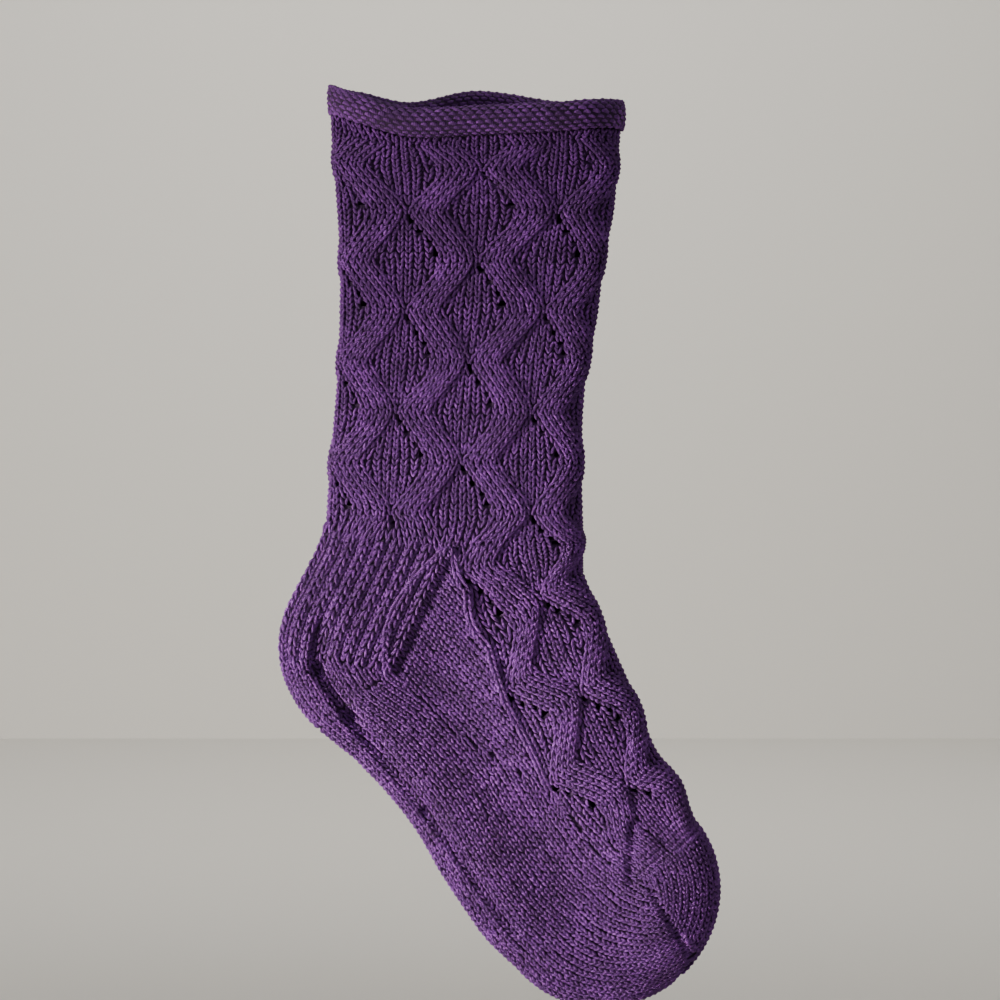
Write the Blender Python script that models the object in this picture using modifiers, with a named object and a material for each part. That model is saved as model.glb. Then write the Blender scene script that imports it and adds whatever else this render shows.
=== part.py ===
"""Hand-knit sock that hangs open-mouthed from the far side of its rolled cuff.

Lengths are in metres and +Z is up. X runs from the back of the leg to its front, and the near
side of the sock faces -Y. The origin is the crest of the far rim at the point that holds it.

A place on the sock is a pair of shares. "Across" runs from the back of the leg and the sole, 0,
to the front of the leg and the instep, 1. "Along" runs from the cuff, 0, to the end of the leg, 1,
to the end of the heel, 2, and to the tip of the toe, 3.
"""

import math
from typing import NamedTuple

import bmesh
import bpy
from mathutils import Vector

MM = 0.001

# Knitted fabric
WALL = 2.5 * MM
GAP = 0.3 * MM

# Leg
LEG_WIDTH = 114.0 * MM
LEG_LENGTH = 177.0 * MM
LEG_HOLLOW = 19.0 * MM

# Rolled cuff
ROLL_HEIGHT = 12.4 * MM
ROLL_CLEARANCE = 0.45 * MM
ROLL_TURN = math.radians(285)
ROLL_TIGHTENING = 0.8 * MM
RIM_SAG = 12.0 * MM
RIM_SAG_REACH = 60.0 * MM
HANG_ACROSS = 0.536

# Heel
HEEL_BULGE = 20.5 * MM
HEEL_DROP = 106.0 * MM
ANKLE_DROP = 22.5 * MM
HEEL_HOLLOW = 23.0 * MM

# Foot and toe
FOOT_SLANT = math.radians(50)
FOOT_LENGTH = 116.0 * MM
FOOT_WIDTH = 108.0 * MM
FOOT_HOLLOW = 22.0 * MM
TOE_LENGTH = 48.0 * MM

# Lace on the leg and instep: zigzag ribs in columns, each a half drop from the next
LACE_REPEATS = 8
LACE_HEIGHT = 43.6 * MM
LACE_RELIEF = 1.5 * MM
LACE_START = 0.57
LACE_TURN = 0.42
LACE_SWING = 0.24
LACE_RIB = 0.20
LACE_FADE = 20.0 * MM
INSTEP_EDGE = 0.54

# Roundness of the flattened sections: 2 is an ellipse, and more is flatter
ROUNDNESS = 2.6

# Faces across each half of the sock, along its stretches and round the roll
FACES_ACROSS = 21
LEG_ROWS = 20
HEEL_ROWS = 9
FOOT_ROWS = 9
TOE_ROWS = 6
ROLL_ROWS = 8
OUTLINE_STEPS = 96


class LegRow(NamedTuple):
    """Section of the leg: edges as shares of LEG_WIDTH, clear depths as shares of LEG_HOLLOW."""

    down: float
    back: float
    front: float
    near: float
    far: float


class HeelRow(NamedTuple):
    """Section of the heel: its back edge, as shares of HEEL_BULGE and HEEL_DROP, its front
    edge, as a share of ANKLE_DROP, and its clear depths, as shares of HEEL_HOLLOW."""

    turn: float
    back_out: float
    back_down: float
    front_down: float
    near: float
    far: float


class FootRow(NamedTuple):
    """Section of the foot: edges as shares of FOOT_WIDTH, clear depths as shares of
    FOOT_HOLLOW."""

    along: float
    sole: float
    instep: float
    near: float
    far: float


class RimRow(NamedTuple):
    """How far the rim hangs below the point that holds it, as shares of RIM_SAG, and how far
    the roll stands out, as a share of its full reach."""

    across: float
    near: float
    far: float
    stand: float


class Place(NamedTuple):
    """Place on the sock, as shares across and along it."""

    across: float
    along: float


class Fold(NamedTuple):
    """Dent, or puff where its depth is negative, along a line from one place to another.

    The width to each side is a share of FOOT_WIDTH, and the depths are shares of FOOT_HOLLOW.
    """

    name: str
    from_across: float
    from_along: float
    to_across: float
    to_along: float
    width: float
    from_depth: float
    to_depth: float


LEG_TABLE = (
    LegRow(0.00, -0.592, 0.512, 0.72, 0.44),
    LegRow(0.05, -0.592, 0.510, 0.71, 0.44),
    LegRow(0.14, -0.584, 0.503, 0.60, 0.44),
    LegRow(0.24, -0.573, 0.492, 0.50, 0.44),
    LegRow(0.36, -0.562, 0.455, 0.44, 0.42),
    LegRow(0.50, -0.564, 0.430, 0.41, 0.40),
    LegRow(0.62, -0.570, 0.392, 0.41, 0.40),
    LegRow(0.74, -0.584, 0.374, 0.43, 0.42),
    LegRow(0.88, -0.603, 0.370, 0.46, 0.45),
    LegRow(1.00, -0.615, 0.374, 0.50, 0.48),
)

HEEL_TABLE = (
    HeelRow(0.00, 0.00, 0.00, 0.00, 0.44, 0.44),
    HeelRow(0.14, 0.18, 0.11, 0.16, 0.45, 0.45),
    HeelRow(0.30, 0.55, 0.25, 0.31, 0.47, 0.47),
    HeelRow(0.44, 0.88, 0.38, 0.46, 0.50, 0.50),
    HeelRow(0.57, 1.00, 0.51, 0.60, 0.50, 0.50),
    HeelRow(0.70, 0.86, 0.66, 0.72, 0.49, 0.49),
    HeelRow(0.85, 0.36, 0.82, 0.86, 0.46, 0.46),
    HeelRow(1.00, -0.62, 0.98, 1.00, 0.45, 0.45),
)

FOOT_TABLE = (
    FootRow(0.00, 0.000, 1.174, 0.49, 0.49),
    FootRow(0.18, 0.012, 1.118, 0.48, 0.48),
    FootRow(0.36, 0.004, 1.066, 0.47, 0.47),
    FootRow(0.54, -0.030, 1.014, 0.46, 0.46),
    FootRow(0.70, -0.050, 0.958, 0.47, 0.47),
    FootRow(0.84, -0.060, 0.957, 0.49, 0.49),
    FootRow(1.00, -0.041, 0.896, 0.52, 0.50),
)

RIM_TABLE = (
    RimRow(0.00, 0.00, 0.00, 0.22),
    RimRow(0.10, 0.45, 0.10, 0.75),
    RimRow(0.27, 1.00, 0.42, 1.00),
    RimRow(0.50, 0.95, 0.00, 1.00),
    RimRow(0.78, 0.80, 0.40, 1.00),
    RimRow(0.90, 0.66, 0.52, 0.85),
    RimRow(1.00, 0.58, 0.58, 0.30),
)

FOLDS = (
    Fold("heel_pocket", 0.140, 1.56, 0.115, 1.73, 0.056, 0.11, 0.15),
    Fold("heel_crease", 0.115, 1.73, 0.130, 1.90, 0.065, 0.15, 0.15),
    Fold("sole_crease", 0.130, 1.90, 0.105, 2.25, 0.074, 0.14, 0.04),
    Fold("sole_hollow", 0.370, 1.95, 0.370, 2.68, 0.250, 0.15, 0.20),
    Fold("selvedge_groove", 0.530, 1.23, 0.315, 1.84, 0.037, 0.07, 0.08),
    Fold("gusset_ridge", 0.530, 1.25, 0.610, 1.61, 0.046, -0.04, -0.04),
    Fold("instep_line", 0.610, 1.61, 0.530, 2.13, 0.046, -0.04, -0.03),
    Fold("instep_groove", 0.620, 2.06, 0.560, 2.22, 0.050, 0.06, 0.06),
    Fold("instep_crease", 0.730, 2.63, 0.610, 2.72, 0.046, 0.07, 0.08),
    Fold("toe_puff", 0.640, 2.82, 0.560, 2.88, 0.160, -0.08, -0.05),
)
FAR_FOLD_SHARE = 0.4

# Places where the knitted sections meet
SEAMS = {
    "flap_start": Place(0.000, 1.000),
    "flap_corner": Place(0.510, 1.210),
    "flap_end": Place(0.165, 1.690),
    "selvedge_foot": Place(0.300, 1.845),
    "turn_start": Place(0.000, 1.555),
    "turn_end": Place(0.000, 1.910),
    "gusset_top": Place(0.610, 1.610),
    "gusset_middle": Place(0.580, 1.990),
    "gusset_low": Place(0.530, 2.140),
    "gusset_seam": Place(0.335, 2.120),
    "gusset_tip": Place(0.520, 2.380),
    "sole_back": Place(0.000, 2.200),
    "sole_edge": Place(0.570, 2.620),
    "toe_seam": Place(0.660, 2.730),
}
BEYOND = 0.35

YARN_COLOUR = (0.095, 0.030, 0.150, 1.0)
YARN_ROUGHNESS = 0.85


def smooth_row(rows: tuple, share: float) -> tuple:
    """Read a table at a share of the way along it, on a smooth curve through its rows."""
    last = len(rows) - 1
    index = 0
    while index < last - 1 and share > rows[index + 1][0]:
        index += 1
    start, end = rows[index], rows[index + 1]
    before, after = rows[max(index - 1, 0)], rows[min(index + 2, last)]
    length = end[0] - start[0]
    t = min(max((share - start[0]) / length, 0.0), 1.0)
    values = []
    for column in range(1, len(start)):
        rise_start = (end[column] - before[column]) / (end[0] - before[0]) * length
        rise_end = (after[column] - start[column]) / (after[0] - start[0]) * length
        values.append(
            (2 * t**3 - 3 * t**2 + 1) * start[column]
            + (t**3 - 2 * t**2 + t) * rise_start
            + (3 * t**2 - 2 * t**3) * end[column]
            + (t**3 - t**2) * rise_end
        )
    return tuple(values)


def smooth_step(low: float, high: float, value: float) -> float:
    """Rise smoothly from 0 at low to 1 at high."""
    t = min(max((value - low) / (high - low), 0.0), 1.0)
    return t * t * (3 - 2 * t)


def leg_section(down: float) -> tuple:
    """Back and front edges of the leg, in X and Z, and its near and far depths."""
    back, front, near, far = smooth_row(LEG_TABLE, down)
    level = -LEG_LENGTH * down
    return (
        Vector((back * LEG_WIDTH, level)),
        Vector((front * LEG_WIDTH, level)),
        WALL + near * LEG_HOLLOW,
        WALL + far * LEG_HOLLOW,
    )


def heel_section(turn: float) -> tuple:
    """Edges and depths of the heel, whose sections fan round the front of the ankle."""
    leg_back, leg_front, leg_near, leg_far = leg_section(1.0)
    back_out, back_down, front_down, near, far = smooth_row(HEEL_TABLE, turn)
    blend = smooth_step(0.0, 0.3, turn)
    return (
        leg_back + Vector((-back_out * HEEL_BULGE, -back_down * HEEL_DROP)),
        leg_front + Vector((0.0, -front_down * ANKLE_DROP)),
        leg_near + (WALL + near * HEEL_HOLLOW - leg_near) * blend,
        leg_far + (WALL + far * HEEL_HOLLOW - leg_far) * blend,
    )


def foot_directions() -> tuple:
    """Directions towards the toe and from the sole to the instep, in X and Z."""
    cosine, sine = math.cos(FOOT_SLANT), math.sin(FOOT_SLANT)
    return Vector((cosine, -sine)), Vector((sine, cosine))


def foot_section(along: float) -> tuple:
    """Edges and depths of the foot, whose sections lie square to its slanting length."""
    heel_back, heel_front, heel_near, heel_far = heel_section(1.0)
    toeward, upward = foot_directions()
    sole, instep, near, far = smooth_row(FOOT_TABLE, along)
    start = heel_back + toeward * FOOT_LENGTH * along
    ankle_shift = heel_front - (heel_back + upward * FOOT_TABLE[0].instep * FOOT_WIDTH)
    blend = smooth_step(0.0, 0.4, along)
    return (
        start + upward * sole * FOOT_WIDTH,
        start + upward * instep * FOOT_WIDTH + ankle_shift * (1 - along) ** 2,
        heel_near + (WALL + near * FOOT_HOLLOW - heel_near) * blend,
        heel_far + (WALL + far * FOOT_HOLLOW - heel_far) * blend,
    )


def toe_section(reach: float) -> tuple:
    """Edges and depths of the toe, which rounds off to its tip in an arc."""
    back, front, near, far = foot_section(1.0)
    toeward, _ = foot_directions()
    middle = (back + front) / 2 + toeward * TOE_LENGTH * reach
    half = (front - back) / 2 * math.sqrt(1 - reach**2)
    depth = (1 - reach**ROUNDNESS) ** (1 / ROUNDNESS)
    return middle - half, middle + half, near * depth, far * depth


def toe_start() -> float:
    """Place along the sock where the toe starts to round off."""
    return 2 + FOOT_LENGTH / (FOOT_LENGTH + TOE_LENGTH)


def section(along: float) -> tuple:
    """Edges and depths of the sock at any place along it."""
    if along <= 1.0:
        return leg_section(along)
    if along <= 2.0:
        return heel_section(along - 1.0)
    if along <= toe_start():
        return foot_section((along - 2.0) / (toe_start() - 2.0))
    return toe_section(min((along - toe_start()) / (3.0 - toe_start()), 1.0))


def flat_place(across: float, along: float) -> Vector:
    """Place in X and Z at a share of the sock's flat width."""
    back, front, _, _ = section(along)
    return back + (front - back) * across


def half_outline(width: float, depth: float) -> list:
    """Even steps round one half of a flattened section.

    Each step is its distance across, its distance out from the middle plane, and the direction
    across and out that the surface faces there.
    """
    fine = []
    for step in range(OUTLINE_STEPS + 1):
        angle = math.pi * step / OUTLINE_STEPS
        cosine, sine = math.cos(angle), max(math.sin(angle), 0.0)
        swing = math.copysign(abs(cosine) ** (2 / ROUNDNESS), cosine)
        fine.append(Vector(((1 - swing) / 2 * width, sine ** (2 / ROUNDNESS) * depth)))
    lengths = [0.0]
    for before, after in zip(fine, fine[1:]):
        lengths.append(lengths[-1] + (after - before).length)
    steps = []
    index = 0
    for face in range(FACES_ACROSS + 1):
        target = lengths[-1] * face / FACES_ACROSS
        while index < OUTLINE_STEPS - 1 and lengths[index + 1] < target:
            index += 1
        run = lengths[index + 1] - lengths[index]
        steps.append(fine[index].lerp(fine[index + 1], (target - lengths[index]) / run))
    outline = []
    for face, step in enumerate(steps):
        if face == 0:
            facing = Vector((-1.0, 0.0))
        elif face == FACES_ACROSS:
            facing = Vector((1.0, 0.0))
        else:
            run = steps[face + 1] - steps[face - 1]
            facing = Vector((-run.y, run.x)).normalized()
        outline.append((step, facing))
    return outline


def rim_drop(across: float, along: float, near_side: bool) -> float:
    """How far the rim's sag pulls a place near the cuff down."""
    near, far, _ = smooth_row(RIM_TABLE, across)
    reach = min(LEG_LENGTH * along / RIM_SAG_REACH, 1.0) if along <= 1.0 else 1.0
    return RIM_SAG * (near if near_side else far) * (1 - reach) ** 2


def run_down(along: float) -> float:
    """Length of knitting from the cuff to a place, down the front of the leg and the instep."""
    ankle = (3 * ANKLE_DROP + HEEL_DROP) / 4
    leg = LEG_LENGTH * min(along, 1.0)
    turn = ankle * min(max(along - 1.0, 0.0), 1.0)
    return leg + turn + (FOOT_LENGTH + TOE_LENGTH) * max(along - 2.0, 0.0)


def lace_relief(around: float, across: float, along: float) -> float:
    """Height of the zigzag lace ribs above the fabric's mean surface."""
    column = int(around * LACE_REPEATS) % LACE_REPEATS
    place = around * LACE_REPEATS - int(around * LACE_REPEATS)
    phase = run_down(along) / LACE_HEIGHT - LACE_START - 0.5 * (column % 2)
    phase -= math.floor(phase)
    if phase < LACE_TURN:
        swing = 2 * phase / LACE_TURN - 1
    else:
        swing = 1 - 2 * (phase - LACE_TURN) / (1 - LACE_TURN)
    offset = abs(place - 0.5 - LACE_SWING * swing) / LACE_RIB
    rib = smooth_step(0.0, 1.0, 1 - min(offset / 2, 1.0)) - 0.5
    fade = smooth_step(0.0, LACE_FADE, LEG_LENGTH * along)
    if along > SEAMS["flap_start"].along:
        fade *= smooth_step(INSTEP_EDGE, INSTEP_EDGE + 0.06, across)
        toe_seam = SEAMS["toe_seam"].along
        fade *= 1 - smooth_step(toe_seam - 0.06, toe_seam, along)
    return LACE_RELIEF * rib * fade


def fold_depth(place: Vector, near_side: bool) -> float:
    """Depth of the dents, less the height of the puffs, at a place in X and Z."""
    total = 0.0
    for fold in FOLDS:
        start = flat_place(fold.from_across, fold.from_along)
        line = flat_place(fold.to_across, fold.to_along) - start
        share = min(max((place - start).dot(line) / line.length_squared, 0.0), 1.0)
        distance = (place - start - line * share).length / (fold.width * FOOT_WIDTH)
        depth = fold.from_depth + (fold.to_depth - fold.from_depth) * share
        total += depth * FOOT_HOLLOW * (1 - smooth_step(0.0, 1.0, distance))
    return total if near_side else total * FAR_FOLD_SHARE


def ring(along: float) -> list:
    """Points round the sock at a place along it, from the back fold round the near side.

    Each point comes with the level direction that the surface faces there.
    """
    back, front, near, far = section(along)
    width = (front - back).length
    direction = (front - back).normalized()
    points = []
    for near_side, depth in ((True, near), (False, far)):
        sign = -1 if near_side else 1
        outline = half_outline(width, depth)
        steps = range(FACES_ACROSS) if near_side else range(FACES_ACROSS, 0, -1)
        for face in steps:
            step, facing = outline[face]
            across = step.x / width
            around = face / FACES_ACROSS / 2
            place = back + direction * step.x
            outward = Vector((direction.x * facing.x, sign * facing.y, direction.y * facing.x))
            point = Vector((place.x, sign * step.y, place.y))
            point += outward * lace_relief(around if near_side else 1 - around, across, along)
            if 0 < face < FACES_ACROSS:
                fold = min(fold_depth(place, near_side), step.y / 2)
                point.y -= sign * fold * facing.y
            point.z -= rim_drop(across, along, near_side)
            points.append((point, outward))
    return points


def loft(name: str, rings: list, tip: Vector | None = None) -> bpy.types.Mesh:
    """Skin a list of rings of points, closed by a tip where there is one."""
    mesh = bpy.data.meshes.new(name)
    skin = bmesh.new()
    rows = [[skin.verts.new(point) for point in row] for row in rings]
    count = len(rows[0])
    for upper, lower in zip(rows, rows[1:]):
        for index in range(count):
            after = (index + 1) % count
            skin.faces.new((upper[index], lower[index], lower[after], upper[after]))
    if tip is not None:
        point = skin.verts.new(tip)
        for index in range(count):
            skin.faces.new((rows[-1][index], point, rows[-1][(index + 1) % count]))
    skin.to_mesh(mesh)
    skin.free()
    mesh.shade_smooth()
    return mesh


def sock_places() -> list:
    """Places along the sock of its rings, closer together where the toe rounds off."""
    places = [row / LEG_ROWS for row in range(LEG_ROWS)]
    places += [1 + row / HEEL_ROWS for row in range(HEEL_ROWS)]
    places += [2 + (toe_start() - 2) * row / FOOT_ROWS for row in range(FOOT_ROWS)]
    for row in range(TOE_ROWS):
        reach = math.sin(math.pi / 2 * row / TOE_ROWS)
        places.append(toe_start() + (3 - toe_start()) * reach)
    return places


def sock_mesh() -> bpy.types.Mesh:
    """Outer face of the leg, heel, foot and toe as one skin, open at the cuff."""
    rings = [[point for point, _ in ring(along)] for along in sock_places()]
    back, _, _, _ = section(3.0)
    return loft("sock_skin", rings, Vector((back.x, 0.0, back.y)))


def roll_path() -> list:
    """Section of the rolled edge as distances out and up, from the leg's top edge."""
    radius = ROLL_HEIGHT / 2 - WALL
    middle = ROLL_CLEARANCE + ROLL_HEIGHT / 2
    path = [Vector((0.0, ROLL_CLEARANCE))]
    for row in range(ROLL_ROWS + 1):
        turn = ROLL_TURN * row / ROLL_ROWS
        reach = radius - ROLL_TIGHTENING * row / ROLL_ROWS
        path.append(Vector((radius - reach * math.cos(turn), middle + reach * math.sin(turn))))
    return path


def roll_mesh() -> bpy.types.Mesh:
    """Inner face of the rolled edge, curled outwards round the mouth."""
    mouth = ring(0.0)
    back, front, _, _ = section(0.0)
    rings = []
    for step in reversed(roll_path()):
        curl = []
        for point, facing in mouth:
            across = (point.x - back.x) / (front.x - back.x)
            _, _, stand = smooth_row(RIM_TABLE, across)
            curl.append(point + facing * step.x * stand + Vector((0.0, 0.0, step.y)))
        rings.append(curl)
    return loft("roll_skin", rings)


def hang_point() -> Vector:
    """Crest of the far rim at the point that holds the sock."""
    _, _, _, far = section(0.0)
    place = flat_place(HANG_ACROSS, 0.0)
    out = far + ROLL_HEIGHT / 2 - WALL
    up = ROLL_CLEARANCE + ROLL_HEIGHT - rim_drop(HANG_ACROSS, 0.0, near_side=False)
    return Vector((place.x, out, place.y + up))


def yarn_material(name: str) -> bpy.types.Material:
    """Matt purple yarn for one knitted section."""
    material = bpy.data.materials.new(f"{name}_yarn")
    material.use_nodes = True
    shader = material.node_tree.nodes["Principled BSDF"]
    shader.inputs["Base Color"].default_value = YARN_COLOUR
    shader.inputs["Roughness"].default_value = YARN_ROUGHNESS
    shader.inputs["Metallic"].default_value = 0.0
    return material


def add_fabric(name: str, mesh: bpy.types.Mesh, parts: bpy.types.Collection) -> bpy.types.Object:
    """Add a knitted section whose mesh is its outer face, thickened inwards by the wall."""
    mesh.materials.append(yarn_material(name))
    piece = bpy.data.objects.new(name, mesh)
    piece.location = -hang_point()
    parts.objects.link(piece)
    thicken = piece.modifiers.new("wall", "SOLIDIFY")
    thicken.thickness = WALL
    thicken.offset = -1.0
    thicken.use_even_offset = True
    return piece


def inset(outline: list, distance: float) -> list:
    """Move each side of a closed outline inwards by a distance."""
    count = len(outline)
    area = sum(outline[i - 1].cross(outline[i]) for i in range(count))
    turn = 1 if area > 0 else -1
    moved = []
    for index in range(count):
        before = (outline[index] - outline[index - 1]).normalized()
        after = (outline[(index + 1) % count] - outline[index]).normalized()
        normal_before = Vector((-before.y, before.x)) * turn
        normal_after = Vector((-after.y, after.x)) * turn
        bisector = (normal_before + normal_after).normalized()
        moved.append(outline[index] + bisector * distance / bisector.dot(normal_after))
    return moved


def add_cutter(name: str, outline: list, near: float, far: float, cutters) -> bpy.types.Object:
    """Add a prism through the sock on an outline in X and Z, from one depth to another."""
    mesh = bpy.data.meshes.new(name)
    prism = bmesh.new()
    corners = [prism.verts.new((place.x, near, place.y)) for place in inset(outline, GAP / 2)]
    face = prism.faces.new(corners)
    swept = bmesh.ops.extrude_face_region(prism, geom=[face])
    moved = [item for item in swept["geom"] if isinstance(item, bmesh.types.BMVert)]
    bmesh.ops.translate(prism, verts=moved, vec=(0.0, far - near, 0.0))
    bmesh.ops.recalc_face_normals(prism, faces=prism.faces)
    prism.to_mesh(mesh)
    prism.free()
    cutter = bpy.data.objects.new(name, mesh)
    cutter.location = -hang_point()
    cutter.hide_render = True
    cutter.display_type = "WIRE"
    cutters.objects.link(cutter)
    return cutter


def section_outlines() -> dict:
    """Outlines in X and Z of the knitted sections below the cuff."""
    toeward, _ = foot_directions()
    past_toe = toeward * 2 * TOE_LENGTH
    past_cuff = Vector((0.0, LEG_LENGTH + LEG_WIDTH))
    seam = {name: flat_place(*place) for name, place in SEAMS.items()}
    behind = {name: flat_place(-BEYOND, place.along) for name, place in SEAMS.items()}
    leg_front = flat_place(1 + BEYOND, SEAMS["flap_corner"].along)
    instep_front = flat_place(1 + BEYOND, SEAMS["sole_back"].along)
    toe_front = flat_place(1 + BEYOND, SEAMS["toe_seam"].along)
    gusset_edge = [seam["gusset_top"], seam["gusset_middle"], seam["gusset_low"]]
    return {
        "leg": [behind["flap_start"], seam["flap_corner"], leg_front, leg_front + past_cuff,
                behind["flap_start"] + past_cuff],
        "heel_flap": [behind["flap_start"], behind["turn_start"], seam["flap_end"],
                      seam["selvedge_foot"], seam["flap_corner"]],
        "heel_turn": [behind["turn_start"], behind["turn_end"], seam["selvedge_foot"],
                      seam["flap_end"]],
        "gusset": [seam["flap_corner"], seam["selvedge_foot"], seam["gusset_seam"],
                   seam["gusset_tip"], *reversed(gusset_edge)],
        "sole": [behind["turn_end"], behind["sole_back"], behind["toe_seam"], seam["toe_seam"],
                 seam["sole_edge"], seam["gusset_tip"], seam["gusset_seam"],
                 seam["selvedge_foot"]],
        "instep": [leg_front, seam["flap_corner"], *gusset_edge, seam["gusset_tip"],
                   seam["sole_edge"], seam["toe_seam"], toe_front, instep_front],
        "toe": [behind["toe_seam"], behind["toe_seam"] + past_toe, toe_front + past_toe,
                toe_front, seam["toe_seam"]],
    }


def cut_piece(name: str, skin, outline: list, near: float, far: float, parts, cutters) -> None:
    """Cut one knitted section out of a copy of the whole thickened sock."""
    piece = add_fabric(name, skin.copy(), parts)
    piece.data.name = name
    cut = piece.modifiers.new("section", "BOOLEAN")
    cut.operation = "INTERSECT"
    cut.solver = "EXACT"
    cut.object = add_cutter(f"{name}_cutter", outline, near, far, cutters)


def main() -> None:
    """Clear the scene and build the sock."""
    for old in list(bpy.data.objects):
        bpy.data.objects.remove(old, do_unlink=True)
    parts = bpy.data.collections.new("hand_knit_sock")
    cutters = bpy.data.collections.new("cutters")
    bpy.context.scene.collection.children.link(parts)
    bpy.context.scene.collection.children.link(cutters)

    add_fabric("rolled_cuff", roll_mesh(), parts)
    skin = sock_mesh()
    reach = LEG_HOLLOW + HEEL_HOLLOW + FOOT_HOLLOW + 2 * WALL
    for name, outline in section_outlines().items():
        if name == "gusset":
            cut_piece("gusset_near", skin, outline, -reach, 0.0, parts, cutters)
            cut_piece("gusset_far", skin, outline, 0.0, reach, parts, cutters)
        else:
            cut_piece(name, skin, outline, -reach, reach, parts, cutters)
    bpy.data.meshes.remove(skin)


main()
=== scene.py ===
"""Hand-knit sock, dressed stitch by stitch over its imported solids.

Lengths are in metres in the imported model's frame: +Z is up, X runs from the back of the leg to
its front, and the near side faces -Y. A place on the sock is a pair of shares. "Around" starts at
the fold down the back of the leg and under the sole, 0, passes the fold down the front of the leg
and the instep at 0.5 by the near side, and comes back by the far side. "Along" runs from the
cuff, 0, to the end of the leg, 1, to the end of the heel, 2, and to the tip of the toe, 3.
"Across" is a share of the sock's flat width, from the back fold, 0, to the front fold, 1.
"""

import logging
import math
from dataclasses import dataclass, field
from enum import Enum
from typing import Callable, NamedTuple

import bpy
import numpy as np
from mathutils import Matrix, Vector

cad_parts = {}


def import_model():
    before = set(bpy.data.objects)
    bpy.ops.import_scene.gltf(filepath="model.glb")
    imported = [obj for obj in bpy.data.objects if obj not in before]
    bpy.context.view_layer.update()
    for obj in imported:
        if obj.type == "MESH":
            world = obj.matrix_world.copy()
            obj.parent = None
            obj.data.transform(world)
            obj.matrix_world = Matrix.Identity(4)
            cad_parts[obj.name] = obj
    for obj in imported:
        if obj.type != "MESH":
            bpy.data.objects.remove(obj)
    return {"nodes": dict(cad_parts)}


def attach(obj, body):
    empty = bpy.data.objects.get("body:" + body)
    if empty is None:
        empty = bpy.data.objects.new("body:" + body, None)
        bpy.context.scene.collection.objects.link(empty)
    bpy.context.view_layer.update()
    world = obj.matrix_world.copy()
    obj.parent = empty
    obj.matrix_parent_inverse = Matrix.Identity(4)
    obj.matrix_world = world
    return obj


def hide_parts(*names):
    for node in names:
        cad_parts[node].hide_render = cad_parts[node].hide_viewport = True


MM = 0.001
UP = np.array((0.0, 0.0, 1.0))
# Wales round the sock, and round a quarter of it
WALES = 72
QUARTER = WALES // 4
# Rows from the top of a stitch to the place that decides its section, plain and in lace
STITCH_MIDDLE = 0.8
LACE_MIDDLE = 0.45

log = logging.getLogger("sock")


class Side(Enum):
    """Side of the flattened sock, by the sign of its Y."""

    NEAR = -1
    FAR = 1


class Stitch(Enum):
    """Way that one stitch is knitted, with the length of its legs in rows."""

    KNIT = 1.42
    SLIPPED = 2.45
    RIDGE = 1.6


class LegRow(NamedTuple):
    """Section of the leg: edges as shares of the width, clear depths as shares of the hollow."""

    down: float
    back: float
    front: float
    near: float
    far: float


class HeelRow(NamedTuple):
    """Section of the heel, as shares of its bulge, its drop and the ankle's drop."""

    turn: float
    back_out: float
    back_down: float
    front_down: float
    near: float
    far: float


class FootRow(NamedTuple):
    """Section of the foot: edges as shares of the width, clear depths as shares of the hollow."""

    along: float
    sole: float
    instep: float
    near: float
    far: float


class RimRow(NamedTuple):
    """Drop of the rim as shares of its sag, and how far its roll stands out."""

    across: float
    near: float
    far: float
    stand: float


class Fold(NamedTuple):
    """Dent, or puff where its depth is negative, along a line, as shares of the foot's sizes."""

    name: str
    from_across: float
    from_along: float
    to_across: float
    to_along: float
    width: float
    from_depth: float
    to_depth: float


class Place(NamedTuple):
    """Place on the sock, as shares across and along it."""

    across: float
    along: float


class ZigzagRow(NamedTuple):
    """How far the lace's band leans from the middle of its repeat, in stitches."""

    phase: float
    lean: float


LEG_TABLE = (
    LegRow(0.00, -0.592, 0.512, 0.72, 0.44),
    LegRow(0.05, -0.592, 0.510, 0.71, 0.44),
    LegRow(0.14, -0.584, 0.503, 0.60, 0.44),
    LegRow(0.24, -0.573, 0.492, 0.50, 0.44),
    LegRow(0.36, -0.562, 0.455, 0.44, 0.42),
    LegRow(0.50, -0.564, 0.430, 0.41, 0.40),
    LegRow(0.62, -0.570, 0.392, 0.41, 0.40),
    LegRow(0.74, -0.584, 0.374, 0.43, 0.42),
    LegRow(0.88, -0.603, 0.370, 0.46, 0.45),
    LegRow(1.00, -0.615, 0.374, 0.50, 0.48),
)

HEEL_TABLE = (
    HeelRow(0.00, 0.00, 0.00, 0.00, 0.44, 0.44),
    HeelRow(0.14, 0.18, 0.11, 0.16, 0.45, 0.45),
    HeelRow(0.30, 0.55, 0.25, 0.31, 0.47, 0.47),
    HeelRow(0.44, 0.88, 0.38, 0.46, 0.50, 0.50),
    HeelRow(0.57, 1.00, 0.51, 0.60, 0.50, 0.50),
    HeelRow(0.70, 0.86, 0.66, 0.72, 0.49, 0.49),
    HeelRow(0.85, 0.36, 0.82, 0.86, 0.46, 0.46),
    HeelRow(1.00, -0.62, 0.98, 1.00, 0.45, 0.45),
)

FOOT_TABLE = (
    FootRow(0.00, 0.000, 1.174, 0.49, 0.49),
    FootRow(0.18, 0.012, 1.118, 0.48, 0.48),
    FootRow(0.36, 0.004, 1.066, 0.47, 0.47),
    FootRow(0.54, -0.030, 1.014, 0.46, 0.46),
    FootRow(0.70, -0.050, 0.958, 0.47, 0.47),
    FootRow(0.84, -0.060, 0.957, 0.49, 0.49),
    FootRow(1.00, -0.041, 0.896, 0.52, 0.50),
)

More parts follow.
